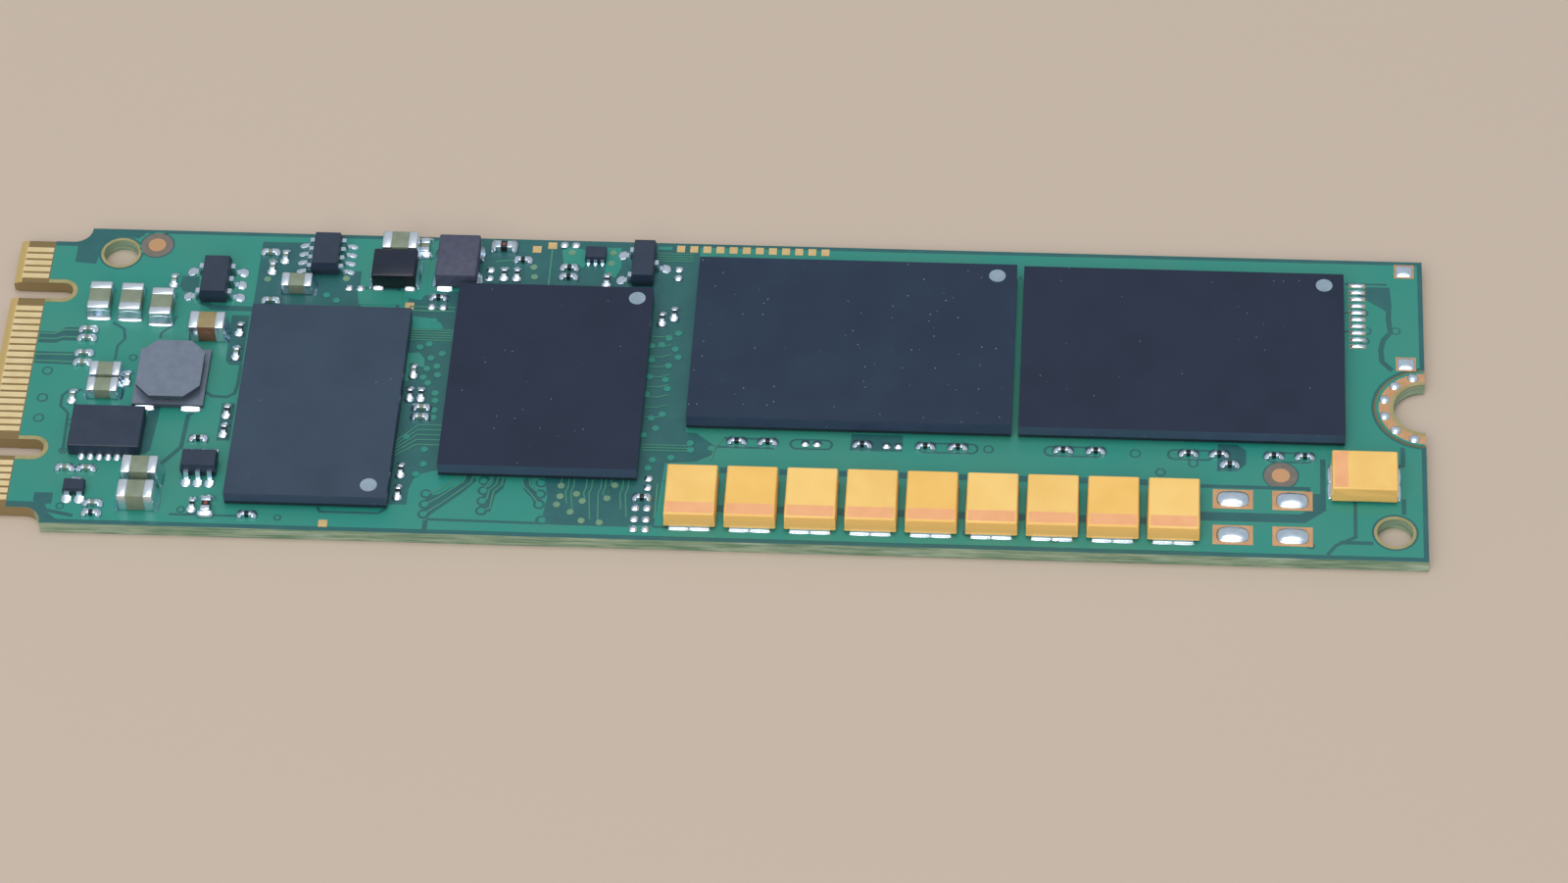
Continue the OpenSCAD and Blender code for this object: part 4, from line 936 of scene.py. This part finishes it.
chip_solder = bmesh.new()
large = bmesh.new()
for chip in chips_of("ceramic_capacitors", "ceramic_capacitor_terminals"):
    is_brown = chip[2] == 0 and chip[1] > 2 and chip[0] < -27
    capped_chip(large, chip_solder, chip, 0.27, 0.07, 2 if is_brown else 0, (0.3, 1.06, 0.8, 1.0))
make_piece("large_ceramic_capacitors", large, [ceramic, tin, brown_ceramic],
           ["ceramic_capacitors", "ceramic_capacitor_terminals"])
small = bmesh.new()
small_blob = (0.33, 1.65, 0.85, 0.1)
dot_r = 0.11
dot_low = 0.03
dot_high = 0.012
for chip in chips_of("small_capacitors", "small_chip_terminals"):
    capped_chip(small, chip_solder, chip, 0.35, 0.03, 0, small_blob)
for chip in chips_of("small_resistors", "small_chip_terminals"):
    capped_chip(small, chip_solder, chip, 0.33, 0.03, 3, small_blob)
    if chip[3] > 0.8:
        top = board_t + chip[5]
        for face in disc(small, chip[0], chip[1], dot_r, top - dot_low, top - dot_high, sides=16):
            face.material_index = 4
make_piece("small_chips", small, [ceramic, solder, brown_ceramic, glass_coat, red_dot],
           ["small_capacitors", "small_resistors", "small_chip_terminals"])
make_piece("chip_solder", chip_solder, [solder])


# Small circuits
# Dies on tinned copper lead frames, moulded in black epoxy with a matt sparked finish. The
# gull-wing leads are trimmed and bent after moulding, and each toe sits in its own solder.
fine_epoxy = new_surface("moulded_fine_epoxy", "#233145", "#2A384C", 1.0, 0.05, 0.003,
                         Roughness=0.45, IOR=1.45)
# The blue in the lead tin's colour is a painted reflection of cool light; the tin itself is silver white.
lead_tin = new_surface("bright_tin_plate", "#D3E5F6", "#E6F2FD", 0.3, 0.06, 0.002,
                       Roughness=0.27, Metallic=1.0)
leaded = ("five_lead", "eight_lead", "six_lead", "diode", "transistor", "sensor")
lead_solder = bmesh.new()
toe_inset = 0.12
toes = {"eight_lead": (0.04, 0.42), "sensor": (0.0, 0.2)}
for name in leaded:
    dress(name + "_body", fine_epoxy)
    dress(name + "_leads", lead_tin)
    body_low, body_high = box_mm(name + "_body")
    toe_spread, toe_reach = toes.get(name, (0.24, 0.5))
    for low, high in islands(name + "_leads"):
        middle = (low + high) / 2
        if middle.x > body_high.x or middle.x < body_low.x:
            turn = 0 if middle.x > body_high.x else 180
            tip = (high.x if turn == 0 else low.x, middle.y)
            width = high.y - low.y
        else:
            turn = 90 if middle.y > body_high.y else 270
            tip = (middle.x, high.y if turn == 90 else low.y)
            width = high.x - low.x
        inward = Vector((math.cos(math.radians(turn)), math.sin(math.radians(turn)))) * toe_inset
        fillet(lead_solder, tip[0] - inward.x, tip[1] - inward.y, turn, width + toe_spread, toe_reach,
               height=0.16, hollow=0.3)
dress("power_circuit_body", fine_epoxy)
dress("power_circuit_pads", tin)
body_low, body_high = box_mm("power_circuit_body")
for low, high in islands("power_circuit_pads"):
    middle = (low + high) / 2
    if high.x - low.x < 1:
        turn = 90 if middle.y > (body_low.y + body_high.y) / 2 else 270
        wall = body_high.y if turn == 90 else body_low.y
        fillet(lead_solder, middle.x, wall, turn, width=0.36, reach=0.42, height=0.22, hollow=0.2)
make_piece("lead_solder", lead_solder, [solder])


# Floor and light
# A plain pale floor, a wide soft box in front of the card, a small one overhead for the fine
# shadows, and a pale cool world that the solder, the tin and the mask reflect.
floor_gap = 0.02
floor_mesh = bmesh.new()
bmesh.ops.create_grid(floor_mesh, x_segments=1, y_segments=1, size=1.5)
floor_data = bpy.data.meshes.new("floor")
floor_mesh.to_mesh(floor_data)
floor_mesh.free()
floor = bpy.data.objects.new("floor", floor_data)
floor.location.z = -floor_gap * MM
bpy.context.scene.collection.objects.link(floor)
floor_material = new_material("matt_pale_floor", Roughness=0.9, Base_Color=linear("#C2B3A5"))
floor_data.materials.append(floor_material)

lamp_distance = 0.8
soft_boxes = (("soft_box_front", -15, 48, 0.7, 3.6), ("soft_box_top", 180, 80, 0.25, 1.4))
for name, side, rise, size, power in soft_boxes:
    side = math.radians(side)
    rise = math.radians(rise)
    place = Vector((math.sin(side) * math.cos(rise), -math.cos(side) * math.cos(rise), math.sin(rise)))
    place = place * lamp_distance
    lamp_data = bpy.data.lights.new(name, "AREA")
    lamp_data.shape = "SQUARE"
    lamp_data.size = size
    lamp_data.energy = power
    lamp_data.color = (1.0, 0.96, 0.9)
    lamp = bpy.data.objects.new(name, lamp_data)
    lamp.location = place
    lamp.rotation_euler = (-place).to_track_quat("-Z", "Y").to_euler()
    bpy.context.scene.collection.objects.link(lamp)

world = bpy.data.worlds.new("pale_world")
bpy.context.scene.world = world
world.use_nodes = True
background = world.node_tree.nodes["Background"]
skyward = add_node(world, "ShaderNodeSeparateXYZ", {
    "Vector": add_node(world, "ShaderNodeTexCoord").outputs["Generated"]}).outputs["Z"]
sky = add_node(world, "ShaderNodeValToRGB", {"Fac": skyward})
for place, colour in ((0.0, "#76828F"), (0.45, "#9CABBD"), (0.75, "#E2ECF8"), (1.0, "#FFFFFF")):
    stop = sky.color_ramp.elements.new(place) if 0 < place < 1 else sky.color_ramp.elements[int(place)]
    stop.color = linear(colour)
world.node_tree.links.new(sky.outputs["Color"], background.inputs["Color"])
background.inputs["Strength"].default_value = 0.56
bpy.context.scene.view_settings.view_transform = "Standard"

bpy.context.view_layer.update()
